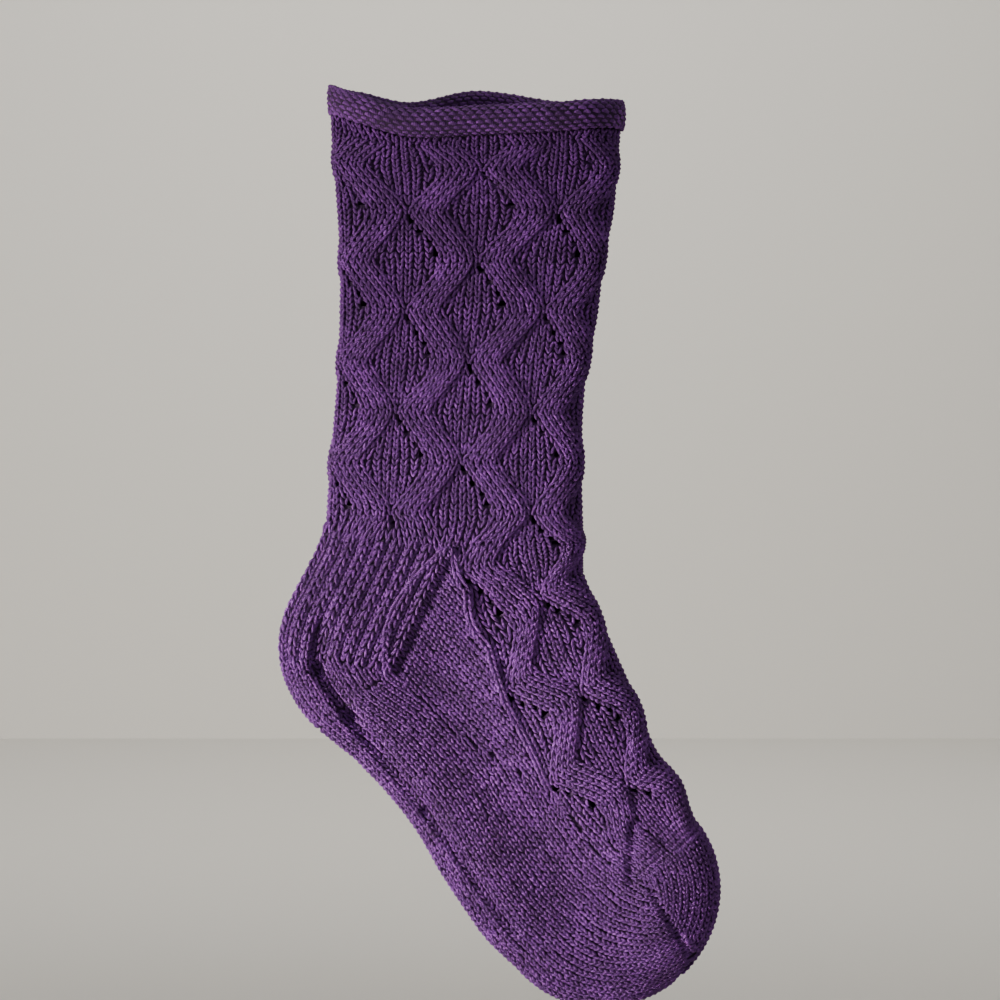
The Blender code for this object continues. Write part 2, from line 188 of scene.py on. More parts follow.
RIM_TABLE = (
    RimRow(0.00, 0.00, 0.00, 0.22),
    RimRow(0.10, 0.45, 0.10, 0.75),
    RimRow(0.27, 1.00, 0.42, 1.00),
    RimRow(0.50, 0.95, 0.00, 1.00),
    RimRow(0.78, 0.80, 0.40, 1.00),
    RimRow(0.90, 0.66, 0.52, 0.85),
    RimRow(1.00, 0.58, 0.58, 0.30),
)

FOLDS = (
    Fold("heel_pocket", 0.142, 1.55, 0.114, 1.70, 0.052, 0.12, 0.17),
    Fold("heel_crease", 0.114, 1.70, 0.110, 1.90, 0.052, 0.17, 0.18),
    Fold("sole_crease", 0.110, 1.90, 0.074, 2.22, 0.050, 0.18, 0.11),
    Fold("edge_groove", 0.074, 2.22, 0.090, 2.66, 0.032, 0.11, 0.07),
    Fold("sole_hollow", 0.400, 1.98, 0.400, 2.66, 0.330, 0.30, 0.36),
    Fold("selvedge_groove", 0.545, 1.25, 0.325, 1.85, 0.028, 0.11, 0.12),
    Fold("gusset_ridge", 0.530, 1.25, 0.610, 1.61, 0.046, -0.04, -0.04),
    Fold("instep_line", 0.610, 1.61, 0.530, 2.13, 0.046, -0.04, -0.03),
    Fold("instep_groove", 0.620, 2.06, 0.560, 2.22, 0.050, 0.06, 0.06),
    Fold("instep_crease", 0.740, 2.60, 0.610, 2.72, 0.036, 0.09, 0.11),
    Fold("toe_puff", 0.640, 2.82, 0.560, 2.88, 0.160, -0.08, -0.05),
    Fold("toe_groove", 0.672, 2.74, 0.662, 2.90, 0.020, 0.06, 0.08),
    Fold("toe_groove_end", 0.662, 2.90, 0.770, 2.98, 0.020, 0.08, 0.06),
)

SEAMS = {
    "flap_start": Place(0.000, 1.000),
    "flap_corner": Place(0.510, 1.210),
    "flap_end": Place(0.165, 1.690),
    "selvedge_foot": Place(0.300, 1.845),
    "turn_start": Place(0.000, 1.555),
    "turn_end": Place(0.000, 1.910),
    "gusset_top": Place(0.610, 1.610),
    "gusset_middle": Place(0.580, 1.990),
    "gusset_low": Place(0.530, 2.140),
    "gusset_seam": Place(0.335, 2.120),
    "gusset_tip": Place(0.520, 2.380),
    "sole_back": Place(0.000, 2.200),
    "sole_edge": Place(0.570, 2.620),
    "toe_seam": Place(0.660, 2.730),
}

ZIGZAG_TABLE = (
    ZigzagRow(0.00, -1.25),
    ZigzagRow(0.10, -0.30),
    ZigzagRow(0.24, 1.15),
    ZigzagRow(0.35, 2.00),
    ZigzagRow(0.45, 2.10),
    ZigzagRow(0.60, 1.05),
    ZigzagRow(0.78, -0.85),
    ZigzagRow(0.91, -1.85),
    ZigzagRow(1.00, -1.25),
)

TOE_LINE = (
    Place(0.720, 2.000),
    Place(0.680, 2.620),
    Place(0.670, 2.730),
    Place(0.660, 2.900),
    Place(0.790, 2.985),
)


def smooth_rows(rows: tuple, share: np.ndarray) -> np.ndarray:
    """Read a table on a smooth curve through its rows.

    Args:
        rows: Table rows of numbers, the first column rising.
        share: Places to read, one for each result row.

    Returns:
        The other columns at each place.
    """
    table = np.array([row for row in rows], dtype=float)
    share = np.clip(np.asarray(share, dtype=float), table[0, 0], table[-1, 0])
    last = len(table) - 1
    index = np.clip(np.searchsorted(table[:, 0], share, side="left") - 1, 0, last - 1)
    start, end = table[index], table[index + 1]
    before, after = table[np.maximum(index - 1, 0)], table[np.minimum(index + 2, last)]
    length = end[:, :1] - start[:, :1]
    t = (share[:, None] - start[:, :1]) / length
    rise_start = (end - before) / (end[:, :1] - before[:, :1]) * length
    rise_end = (after - start) / (after[:, :1] - start[:, :1]) * length
    values = (2 * t**3 - 3 * t**2 + 1) * start + (t**3 - 2 * t**2 + t) * rise_start
    values += (3 * t**2 - 2 * t**3) * end + (t**3 - t**2) * rise_end
    return values[:, 1:]


def smooth_step(low: float, high: float, value: np.ndarray) -> np.ndarray:
    """Rise smoothly from 0 at low to 1 at high."""
    t = np.clip((np.asarray(value, dtype=float) - low) / (high - low), 0.0, 1.0)
    return t * t * (3 - 2 * t)


def unit(vectors: np.ndarray) -> np.ndarray:
    """Scale vectors to a length of 1."""
    return vectors / np.maximum(np.linalg.norm(vectors, axis=-1, keepdims=True), 1e-12)


def lengths_along(points: np.ndarray) -> np.ndarray:
    """Distance of each point from the first, along the line through them."""
    steps = np.linalg.norm(np.diff(points, axis=0), axis=1)
    return np.concatenate(([0.0], np.cumsum(steps)))


def read_line(at: np.ndarray, stops: np.ndarray, line: np.ndarray) -> np.ndarray:
    """Flat points of a line, read at places between its stops."""
    return np.stack([np.interp(at, stops, line[:, i]) for i in (0, 1)], axis=1)


def half_turn(around: np.ndarray) -> np.ndarray:
    """Share of the way round one half of the sock, for a share of the whole way round."""
    return np.where(around > 0.5, 1 - around, around) * 2


def lattice(wales: np.ndarray, rows: np.ndarray) -> tuple:
    """Wale and row of each stitch of a lattice, row after row."""
    wale, row = np.meshgrid(wales, rows)
    return wale.ravel(), row.ravel().astype(float)


def inside(outline: np.ndarray, points: np.ndarray) -> np.ndarray:
    """Tell which flat points lie inside a closed outline.

    Args:
        outline: Corners of the outline, two numbers each.
        points: Points to test, two numbers each.

    Returns:
        True for each point that lies inside.
    """
    result = np.zeros(len(points), dtype=bool)
    for start, end in zip(outline, np.roll(outline, -1, axis=0)):
        crosses = (start[1] > points[:, 1]) != (end[1] > points[:, 1])
        rise = end[1] - start[1] if end[1] != start[1] else 1e-12
        meets = start[0] + (end[0] - start[0]) * (points[:, 1] - start[1]) / rise
        result ^= crosses & (points[:, 0] < meets)
    return result


@dataclass
class SockForm:
    """Outer face of the knitting, from the same sizes and tables as the solids."""

    wall: float = 2.5 * MM
    leg_width: float = 114.0 * MM
    leg_length: float = 177.0 * MM
    leg_hollow: float = 19.0 * MM
    roll_height: float = 12.4 * MM
    roll_clearance: float = 0.45 * MM
    rim_sag: float = 12.0 * MM
    rim_sag_reach: float = 60.0 * MM
    hang_across: float = 0.536
    heel_bulge: float = 20.5 * MM
    heel_drop: float = 106.0 * MM
    ankle_drop: float = 22.5 * MM
    heel_hollow: float = 23.0 * MM
    foot_slant: float = math.radians(50)
    foot_length: float = 116.0 * MM
    foot_width: float = 108.0 * MM
    foot_hollow: float = 22.0 * MM
    toe_length: float = 48.0 * MM
    far_fold_share: float = 0.4
    roundness: float = 2.6
    typical_depth: float = 0.115
    half_length: float = 1.11
    fold_limit: float = 0.62
    faces_across: int = 150
    leg_rows: int = 260
    heel_rows: int = 130
    foot_rows: int = 150
    toe_rows: int = 60
    relief: Callable | None = None
    points: np.ndarray = field(init=False)
    normals: np.ndarray = field(init=False)
    places: np.ndarray = field(init=False)

    def __post_init__(self) -> None:
        """Work out the directions, the typical section and the fine grid of the face."""
        slant = self.foot_slant
        self.toeward = np.array((math.cos(slant), -math.sin(slant)))
        self.upward = np.array((math.sin(slant), math.cos(slant)))
        self.toe_start = 2 + self.foot_length / (self.foot_length + self.toe_length)
        self.ankle = (3 * self.ankle_drop + self.heel_drop) / 4
        self.typical = self.half_outline(1.0, self.typical_depth, 400)
        self.origin = self.hang_point()
        self.make_grid()

    def leg_section(self, down: np.ndarray) -> tuple:
        """Back and front edges of the leg, flat, and its near and far depths.

        Args:
            down: Shares down the leg.

        Returns:
            Flat places of the back and front edges, and the near and far depths.
        """
        back, front, near, far = smooth_rows(LEG_TABLE, down).T
        level = -self.leg_length * down
        return (
            np.stack((back * self.leg_width, level), axis=1),
            np.stack((front * self.leg_width, level), axis=1),
            self.wall + near * self.leg_hollow,
            self.wall + far * self.leg_hollow,
        )

    def heel_section(self, turn: np.ndarray) -> tuple:
        """Edges and depths of the heel, whose sections fan round the front of the ankle.

        Args:
            turn: Shares of the heel's turn.

        Returns:
            Flat places of the back and front edges, and the near and far depths.
        """
        leg_back, leg_front, leg_near, leg_far = self.leg_section(np.ones(len(turn)))
        out, down, front_down, near, far = smooth_rows(HEEL_TABLE, turn).T
        blend = smooth_step(0.0, 0.3, turn)
        zero = np.zeros(len(turn))
        back = leg_back + np.stack((-out * self.heel_bulge, -down * self.heel_drop), axis=1)
        front = leg_front + np.stack((zero, -front_down * self.ankle_drop), axis=1)
        near = leg_near + (self.wall + near * self.heel_hollow - leg_near) * blend
        far = leg_far + (self.wall + far * self.heel_hollow - leg_far) * blend
        return back, front, near, far

    def foot_section(self, along: np.ndarray) -> tuple:
        """Edges and depths of the foot, whose sections lie square to its slanting length.

        Args:
            along: Shares along the foot.

        Returns:
            Flat places of the back and front edges, and the near and far depths.
        """
        heel_back, heel_front, heel_near, heel_far = self.heel_section(np.ones(len(along)))
        sole, instep, near, far = smooth_rows(FOOT_TABLE, along).T
        start = heel_back + self.toeward * self.foot_length * along[:, None]
        width = FOOT_TABLE[0].instep * self.foot_width
        ankle_shift = heel_front - (heel_back + self.upward * width)
        blend = smooth_step(0.0, 0.4, along)
        back = start + self.upward * sole[:, None] * self.foot_width
        front = start + self.upward * instep[:, None] * self.foot_width
        front = front + ankle_shift * (1 - along[:, None]) ** 2
        near = heel_near + (self.wall + near * self.foot_hollow - heel_near) * blend
        far = heel_far + (self.wall + far * self.foot_hollow - heel_far) * blend
        return back, front, near, far

    def toe_section(self, reach: np.ndarray) -> tuple:
        """Edges and depths of the toe, which rounds off to its tip in an arc.

        Args:
            reach: Shares of the toe's length.

        Returns:
            Flat places of the back and front edges, and the near and far depths.
        """
        back, front, near, far = self.foot_section(np.ones(len(reach)))
        middle = (back + front) / 2 + self.toeward * self.toe_length * reach[:, None]
        half = (front - back) / 2 * np.sqrt(1 - reach[:, None] ** 2)
        depth = (1 - reach**self.roundness) ** (1 / self.roundness)
        return middle - half, middle + half, near * depth, far * depth

    def section(self, along: np.ndarray) -> tuple:
        """Edges and depths of the sock at any places along it.

        Args:
            along: Shares along the sock.

        Returns:
            Flat places of the back and front edges, and the near and far depths.
        """
        along = np.clip(np.asarray(along, dtype=float), 0.0, 3.0)
        back, front = np.zeros((len(along), 2)), np.zeros((len(along), 2))
        near, far = np.zeros(len(along)), np.zeros(len(along))
        toe = (along - self.toe_start) / (3.0 - self.toe_start)
        foot = (along - 2.0) / (self.toe_start - 2.0)
        stretches = (
            (along <= 1.0, self.leg_section, along),
            ((along > 1.0) & (along <= 2.0), self.heel_section, along - 1.0),
            ((along > 2.0) & (along <= self.toe_start), self.foot_section, foot),
            (along > self.toe_start, self.toe_section, np.clip(toe, 0.0, 1.0)),
        )
        for chosen, part, share in stretches:
            if chosen.any():
                found = part(share[chosen])
                back[chosen], front[chosen], near[chosen], far[chosen] = found
        return back, front, near, far

    def flat(self, across: np.ndarray, along: np.ndarray) -> np.ndarray:
        """Flat place, in X and Z, of shares across and along."""
        back, front, _, _ = self.section(np.atleast_1d(along))
        return back + (front - back) * np.atleast_1d(across)[:, None]

    def unflat(self, spots: np.ndarray) -> tuple:
        """Find the shares across and along of flat places.

        Args:
            spots: Flat places, in X and Z, below the leg.

        Returns:
            Shares across and shares along.
        """
        step = 1e-4
        guess = np.linspace(1.0, 3.0, 41)
        middles = self.flat(np.full(41, 0.5), guess)
        gaps = np.linalg.norm(spots[:, None, :] - middles[None], axis=2)
        along = guess[np.argmin(gaps, axis=1)]
        across = np.full(len(spots), 0.5)
        for _ in range(14):
            along = np.clip(along, 0.9, 3 - 2 * step)
            here = self.flat(across, along)
            by_across = (self.flat(across + step, along) - here) / step
            by_along = (self.flat(across, along + step) - here) / step
            miss = spots - here
            area = by_across[:, 0] * by_along[:, 1] - by_across[:, 1] * by_along[:, 0]
            area = np.where(np.abs(area) < 1e-9, 1e-9, area)
            move_across = (miss[:, 0] * by_along[:, 1] - miss[:, 1] * by_along[:, 0]) / area
            move_along = (by_across[:, 0] * miss[:, 1] - by_across[:, 1] * miss[:, 0]) / area
            across = across + np.clip(move_across, -0.4, 0.4)
            along = along + np.clip(move_along, -0.3, 0.3)
        return self.unflat_toe(spots, across, np.clip(along, 0.9, 3.0))

    def unflat_toe(self, spots: np.ndarray, across: np.ndarray, along: np.ndarray) -> tuple:
        """Solve the places on the rounded toe exactly, where steps towards them may stray.

        Args:
            spots: Flat places, in X and Z.
            across: Shares across that the steps found.
            along: Shares along that the steps found.

        Returns:
            Shares across and shares along.
        """
        back, front, _, _ = self.foot_section(np.ones(1))
        middle, half = (back[0] + front[0]) / 2, (front[0] - back[0]) / 2
        axes = np.stack((self.toeward * self.toe_length, half), axis=1)
        reach, side = np.linalg.solve(axes, (spots - middle).T)
        toe = (reach > 0) & (spots[:, 1] < middle[1] + self.leg_width)
        reach = np.clip(reach, 0.0, 0.9995)
        on_toe = (side / np.sqrt(1 - reach**2) + 1) / 2
        across = np.where(toe, on_toe, across)
        along = np.where(toe, self.toe_start + (3 - self.toe_start) * reach, along)
        return np.clip(across, 0.0, 1.0), along

    def half_outline(self, width: float, depth: float, faces: int) -> np.ndarray:
        """Even steps round one half of a flattened section, across and out.

        Args:
            width: Width of the section.
            depth: Depth of this half.
            faces: Number of steps.

        Returns:
            Places across and out, from fold to fold.
        """
        angle = np.linspace(0.0, math.pi, 241)
        cosine, sine = np.cos(angle), np.maximum(np.sin(angle), 0.0)
        swing = np.sign(cosine) * np.abs(cosine) ** (2 / self.roundness)
        fine = np.stack(((1 - swing) / 2 * width, sine ** (2 / self.roundness) * depth), axis=1)
        lengths = lengths_along(fine)
        return read_line(np.linspace(0.0, lengths[-1], faces + 1), lengths, fine)

    def turn_share(self, across: np.ndarray) -> np.ndarray:
        """Share of the way round one half of the section, for a share across it."""
        even = np.linspace(0.0, 1.0, len(self.typical))
        return np.interp(across, self.typical[:, 0], even)

    def turned_across(self, turn: np.ndarray) -> np.ndarray:
        """Share across the section, for a share of the way round one half."""
        even = np.linspace(0.0, 1.0, len(self.typical))
        return np.interp(turn, even, self.typical[:, 0])

    def across_at(self, around: np.ndarray) -> np.ndarray:
        """Share across the section, for a share of the way round the sock."""
        return self.turned_across(half_turn(np.asarray(around) % 1.0))

    def flat_run(self, run: np.ndarray, width: float) -> np.ndarray:
        """Distance in from a fold as seen flat, for a distance over the knitting."""
        return self.turned_across(np.abs(run) / (self.half_length * width)) * width

    def rim_drop(self, across: np.ndarray, along: np.ndarray, side: Side) -> np.ndarray:
        """How far the rim's sag pulls a place near the cuff down.

        Args:
            across: Shares across the sock.
            along: Shares along it.
            side: Side that sags.

        Returns:
            Drop of each place.
        """
        near, far, _ = smooth_rows(RIM_TABLE, across).T
        reach = np.clip(self.leg_length * along / self.rim_sag_reach, 0.0, 1.0)
        return self.rim_sag * (near if side is Side.NEAR else far) * (1 - reach) ** 2

    def run_down(self, along: np.ndarray) -> np.ndarray:
        """Length of knitting from the cuff, down the front of the leg and the instep."""
        run = self.leg_length * np.minimum(along, 1.0)
        run = run + self.ankle * np.clip(along - 1.0, 0.0, 1.0)
        return run + (self.foot_length + self.toe_length) * np.maximum(along - 2.0, 0.0)

    def place_down(self, run: np.ndarray) -> np.ndarray:
        """Share along for a length of knitting from the cuff."""
        stops = np.array((0.0, 1.0, 2.0, 3.0))
        return np.interp(run, self.run_down(stops), stops)

    def fold_depth(self, spots: np.ndarray, side: Side) -> np.ndarray:
        """Depth of the dents, less the height of the puffs, at flat places.

        Args:
            spots: Flat places, in X and Z.
            side: Side that is dented.

        Returns:
            Depth at each place.
        """
        total = np.zeros(len(spots))
        for fold in FOLDS:
            start = self.flat(fold.from_across, fold.from_along)[0]
            line = self.flat(fold.to_across, fold.to_along)[0] - start
            share = np.clip((spots - start) @ line / (line @ line), 0.0, 1.0)
            gap = np.linalg.norm(spots - start - share[:, None] * line, axis=1)
            depth = fold.from_depth + (fold.to_depth - fold.from_depth) * share
            near_line = 1 - smooth_step(0.0, 1.0, gap / (fold.width * self.foot_width))
            total += depth * self.foot_hollow * near_line
        return total if side is Side.NEAR else total * self.far_fold_share

    def hang_point(self) -> np.ndarray:
        """Crest of the far rim at the point that holds the sock.

        Returns:
            The point.
        """
        _, _, _, far = self.section(np.zeros(1))
        spot = self.flat(self.hang_across, 0.0)[0]
        out = far[0] + self.roll_height / 2 - self.wall
        across = np.array((self.hang_across,))
        drop = self.rim_drop(across, np.zeros(1), Side.FAR)[0]
        up = self.roll_clearance + self.roll_height - drop
        return np.array((spot[0], out, spot[1] + up))

    def make_grid(self) -> None:
        """Work out points and normals of the face on a fine grid, ring by ring."""
        places = [np.arange(self.leg_rows) / self.leg_rows]
        places.append(1 + np.arange(self.heel_rows) / self.heel_rows)
        foot = (self.toe_start - 2) * np.arange(self.foot_rows) / self.foot_rows
        places.append(2 + foot)
        reach = np.sin(np.linspace(0.0, math.pi / 2, self.toe_rows + 1)) * (1 - 1e-4)
        places.append(self.toe_start + (3 - self.toe_start) * reach)
        self.places = np.concatenate(places)
        rows, faces = len(self.places), self.faces_across
        backs, fronts, nears, fars = self.section(self.places)
        self.points = np.zeros((rows, 2 * faces, 3))
        for row, along in enumerate(self.places):
            self.points[row] = self.ring(along, backs[row], fronts[row], nears[row], fars[row])
        self.points -= self.origin
        round_step = np.roll(self.points, -1, axis=1) - np.roll(self.points, 1, axis=1)
        down_step = np.gradient(self.points, axis=0)
        normals = unit(np.cross(down_step, round_step))
        middle = self.points.mean(axis=1, keepdims=True)
        wrong = ((self.points - middle) * normals).sum(axis=(1, 2)) < 0
        normals[wrong] *= -1
        tip = np.array((self.toeward[0], 0.0, self.toeward[1]))
        normals[-1] = tip
        self.normals = normals

    def ring(self, along: float, back: np.ndarray, front: np.ndarray, near: float, far: float
             ) -> np.ndarray:
        """Points round the sock at one place along it, before it is moved to its mount.

        Args:
            along: Share along the sock.
            back: Flat place of the back edge.
            front: Flat place of the front edge.
            near: Depth of the near side.
            far: Depth of the far side.

        Returns:
            Points from the back fold round the near side and back by the far side.
        """
        faces = self.faces_across
        width = np.linalg.norm(front - back)
        direction = (front - back) / max(width, 1e-9)
        halves = []
        for side, depth in ((Side.NEAR, near), (Side.FAR, far)):
            steps = self.half_outline(width, depth, faces)
            run = np.gradient(steps, axis=0)
            facing = unit(np.stack((-run[:, 1], run[:, 0]), axis=1))
            facing[0], facing[-1] = (-1.0, 0.0), (1.0, 0.0)
            across = steps[:, 0] / max(width, 1e-9)
            around = np.arange(faces + 1) / faces / 2
            around = around if side is Side.NEAR else 1 - around
            flat = back + direction * steps[:, :1]
            out = np.stack((direction[0] * facing[:, 0], side.value * facing[:, 1],
                            direction[1] * facing[:, 0]), axis=1)
            points = np.stack((flat[:, 0], side.value * steps[:, 1], flat[:, 1]), axis=1)
            if self.relief is not None:
                height = self.relief(self, around, across, np.full(faces + 1, along))
                points += out * height[:, None]
            fold = np.minimum(self.fold_depth(flat, side), self.fold_limit * steps[:, 1])
            fold[0] = fold[-1] = 0.0
            points[:, 1] -= side.value * fold * facing[:, 1]
            points[:, 2] -= self.rim_drop(across, np.full(faces + 1, along), side)
            halves.append(points)
        return np.concatenate((halves[0][:-1], halves[1][::-1][:-1]))

    def face(self, around: np.ndarray, along: np.ndarray) -> tuple:
        """Points and normals of the outer face.

        Args:
            around: Shares round the sock.
            along: Shares along it.

        Returns:
            Points and unit normals.
        """
        count = self.points.shape[1]
        column = (np.asarray(around) % 1.0) * count
        row = np.interp(along, self.places, np.arange(len(self.places)))
        c0, r0 = np.floor(column).astype(int), np.floor(row).astype(int)
        r0 = np.minimum(r0, len(self.places) - 2)
        u, v = (column - c0)[..., None], (row - r0)[..., None]
        c0, c1 = c0 % count, (c0 + 1) % count

        def blend(grid: np.ndarray) -> np.ndarray:
            """Mix the four corners round each place."""
            upper = grid[r0, c0] * (1 - u) + grid[r0, c1] * u
            lower = grid[r0 + 1, c0] * (1 - u) + grid[r0 + 1, c1] * u
            return upper * (1 - v) + lower * v

        return blend(self.points), unit(blend(self.normals))


@dataclass
class Lace:
    """Half-drop lace: raised bands that lean to one side and back, and sunken wales between."""

    repeats: int = 8
    stitches: int = 9
    row: float = 2.42 * MM
    rows: int = 18
    start: float = 0.57
    first_wale: float = 0.7
    band: float = 2.5
    follow: float = 0.45
    height: float = 1.55 * MM
    sink: float = 0.55 * MM
    groove: float = 0.6 * MM
    fade: float = 20.0 * MM
    end: float = 340.0 * MM
    hole_phases: tuple = (0.0, 0.11, 0.22, 0.33)

    def phase(self, repeat: np.ndarray, run: np.ndarray) -> np.ndarray:
        """Share of the way through the repeat, at a length of knitting from the cuff."""
        raw = run / (self.row * self.rows) - self.start - 0.5 * (repeat % 2)
        return raw - np.floor(raw)

    def lean(self, phase: np.ndarray) -> np.ndarray:
        """Lean of the band, in stitches, from the middle of its repeat."""
        shape = np.shape(phase)
        return smooth_rows(ZIGZAG_TABLE, np.ravel(phase))[:, 0].reshape(shape)

    def offset(self, column: np.ndarray) -> tuple:
        """Repeat that a stitch column lies in, and its distance from the repeat's middle."""
        shifted = np.asarray(column) - self.first_wale
        repeat = np.floor(shifted / self.stitches)
        return repeat, shifted - (repeat + 0.5) * self.stitches

    def swing(self, run: np.ndarray) -> np.ndarray:
        """Share of its full lean that a band has, which dies out at the cuff and at the toe."""
        rise = smooth_step(0.0, self.fade / 2, run)
        return rise * (1 - smooth_step(self.end - 1.7 * self.fade, self.end - 0.4 * self.fade, run))

    def leaned(self, column: np.ndarray, run: np.ndarray) -> np.ndarray:
        """Stitch column where a straight wale lies, drawn a little after the bands' lean.

        Args:
            column: Column that the wale would have in plain knitting.
            run: Length of knitting from the cuff.

        Returns:
            Column that it has here.
        """
        repeat, offset = self.offset(column)
        pull = 1 - smooth_step(1.0, self.stitches / 2, np.abs(offset))
        return column + self.follow * self.lean(self.phase(repeat, run)) * pull * self.swing(run)

    def banded(self, column: np.ndarray, run: np.ndarray) -> np.ndarray:
        """Stitch column where a wale of a band lies."""
        repeat, _ = self.offset(column)
        return column + self.lean(self.phase(repeat, run)) * self.swing(run)

    def from_band(self, column: np.ndarray, run: np.ndarray) -> np.ndarray:
        """Distance, in stitches, of a stitch column from the nearest band's middle.

        Args:
            column: Stitch columns.
            run: Lengths of knitting from the cuff.

        Returns:
            Signed distances.
        """
        swing = self.swing(run)
        gaps = []
        for step in (-1, 0, 1):
            repeat, _ = self.offset(column)
            repeat = repeat + step
            middle = (repeat + 0.5) * self.stitches + self.first_wale
            gaps.append(column - middle - self.lean(self.phase(repeat, run)) * swing)
        gaps = np.stack(gaps)
        return np.take_along_axis(gaps, np.argmin(np.abs(gaps), axis=0)[None], axis=0)[0]

    def relief(self, form: SockForm, around: np.ndarray, across: np.ndarray, along: np.ndarray
               ) -> np.ndarray:
        """Height of the bands and depth of the wales between them, on the leg and the instep.

        Args:
            form: Form that carries the lace.
            around: Shares round the sock.
            across: Shares across it.
            along: Shares along it.

        Returns:
            Height at each place.
        """
        edge = instep_edge(form, along)
        column = lace_column(form, around, edge)
        run = form.run_down(along)
        offset = self.from_band(column, run)
        phase = self.phase(self.offset(column - offset)[0], run)
        rib = 1 - smooth_step(0.35 * self.band, 1.4 * self.band, np.abs(offset))
        height = rib * self.height - self.sink
        going_back = smooth_step(0.40, 0.52, phase) * (1 - smooth_step(0.84, 0.96, phase))
        gap = np.abs(offset - self.band)
        height = height - self.groove * going_back * (1 - smooth_step(0.0, 1.0, gap))
        fade = smooth_step(0.0, self.fade, form.leg_length * along)
        turn = form.turn_share(across)
        past_flap = (along > SEAMS["flap_start"].along).astype(float)
        on_instep = smooth_step(0.0, 0.05, turn - edge)
        fade = fade * (1 - past_flap * (1 - on_instep))
        seam = SEAMS["toe_seam"].along
        return height * fade * (1 - smooth_step(seam - 0.06, seam, along))


def instep_edge(form: SockForm, along: np.ndarray) -> np.ndarray:
    """Share round one half where the instep's stitches start, at places along.

    Args:
        form: Form that carries the stitches.
        along: Shares along the sock.

    Returns:
        Share at each place.
    """
    names = ("flap_corner", "gusset_top", "gusset_middle", "gusset_low", "gusset_tip",
             "sole_edge", "toe_seam")
    stops = [SEAMS[name] for name in names]
    edge = np.interp(along, [stop.along for stop in stops], [stop.across for stop in stops])
    return form.turn_share(np.where(np.asarray(along) < stops[0].along, 0.5, edge))


def lace_column(form: SockForm, around: np.ndarray, edge: np.ndarray) -> np.ndarray:
    """Stitch column, 0 to 72 round the sock, where the instep's wales crowd to its edge.

    Args:
        form: Form that carries the stitches.
        around: Shares round the sock.
        edge: Share round one half where the instep starts.

    Returns:
        Column of each place.
    """
    side = half_turn(around)
    past = QUARTER + (side - edge) / (1 - edge) * QUARTER
    half = np.where(side < edge, side / edge * QUARTER, past)
    return np.where(around > 0.5, WALES - half, half)


def column_around(column: np.ndarray, edge: np.ndarray) -> np.ndarray:
    """Share round the sock of a stitch column, the reverse of lace_column.

    Args:
        column: Stitch columns.
        edge: Share round one half where the instep starts.

    Returns:
        Share of each column.
    """
    column = np.asarray(column) % WALES
    far = column > WALES // 2
    half = np.where(far, WALES - column, column)
    past = edge + (half - QUARTER) / QUARTER * (1 - edge)
    side = np.where(half < QUARTER, half / QUARTER * edge, past)
    return np.where(far, 1 - side / 2, side / 2)


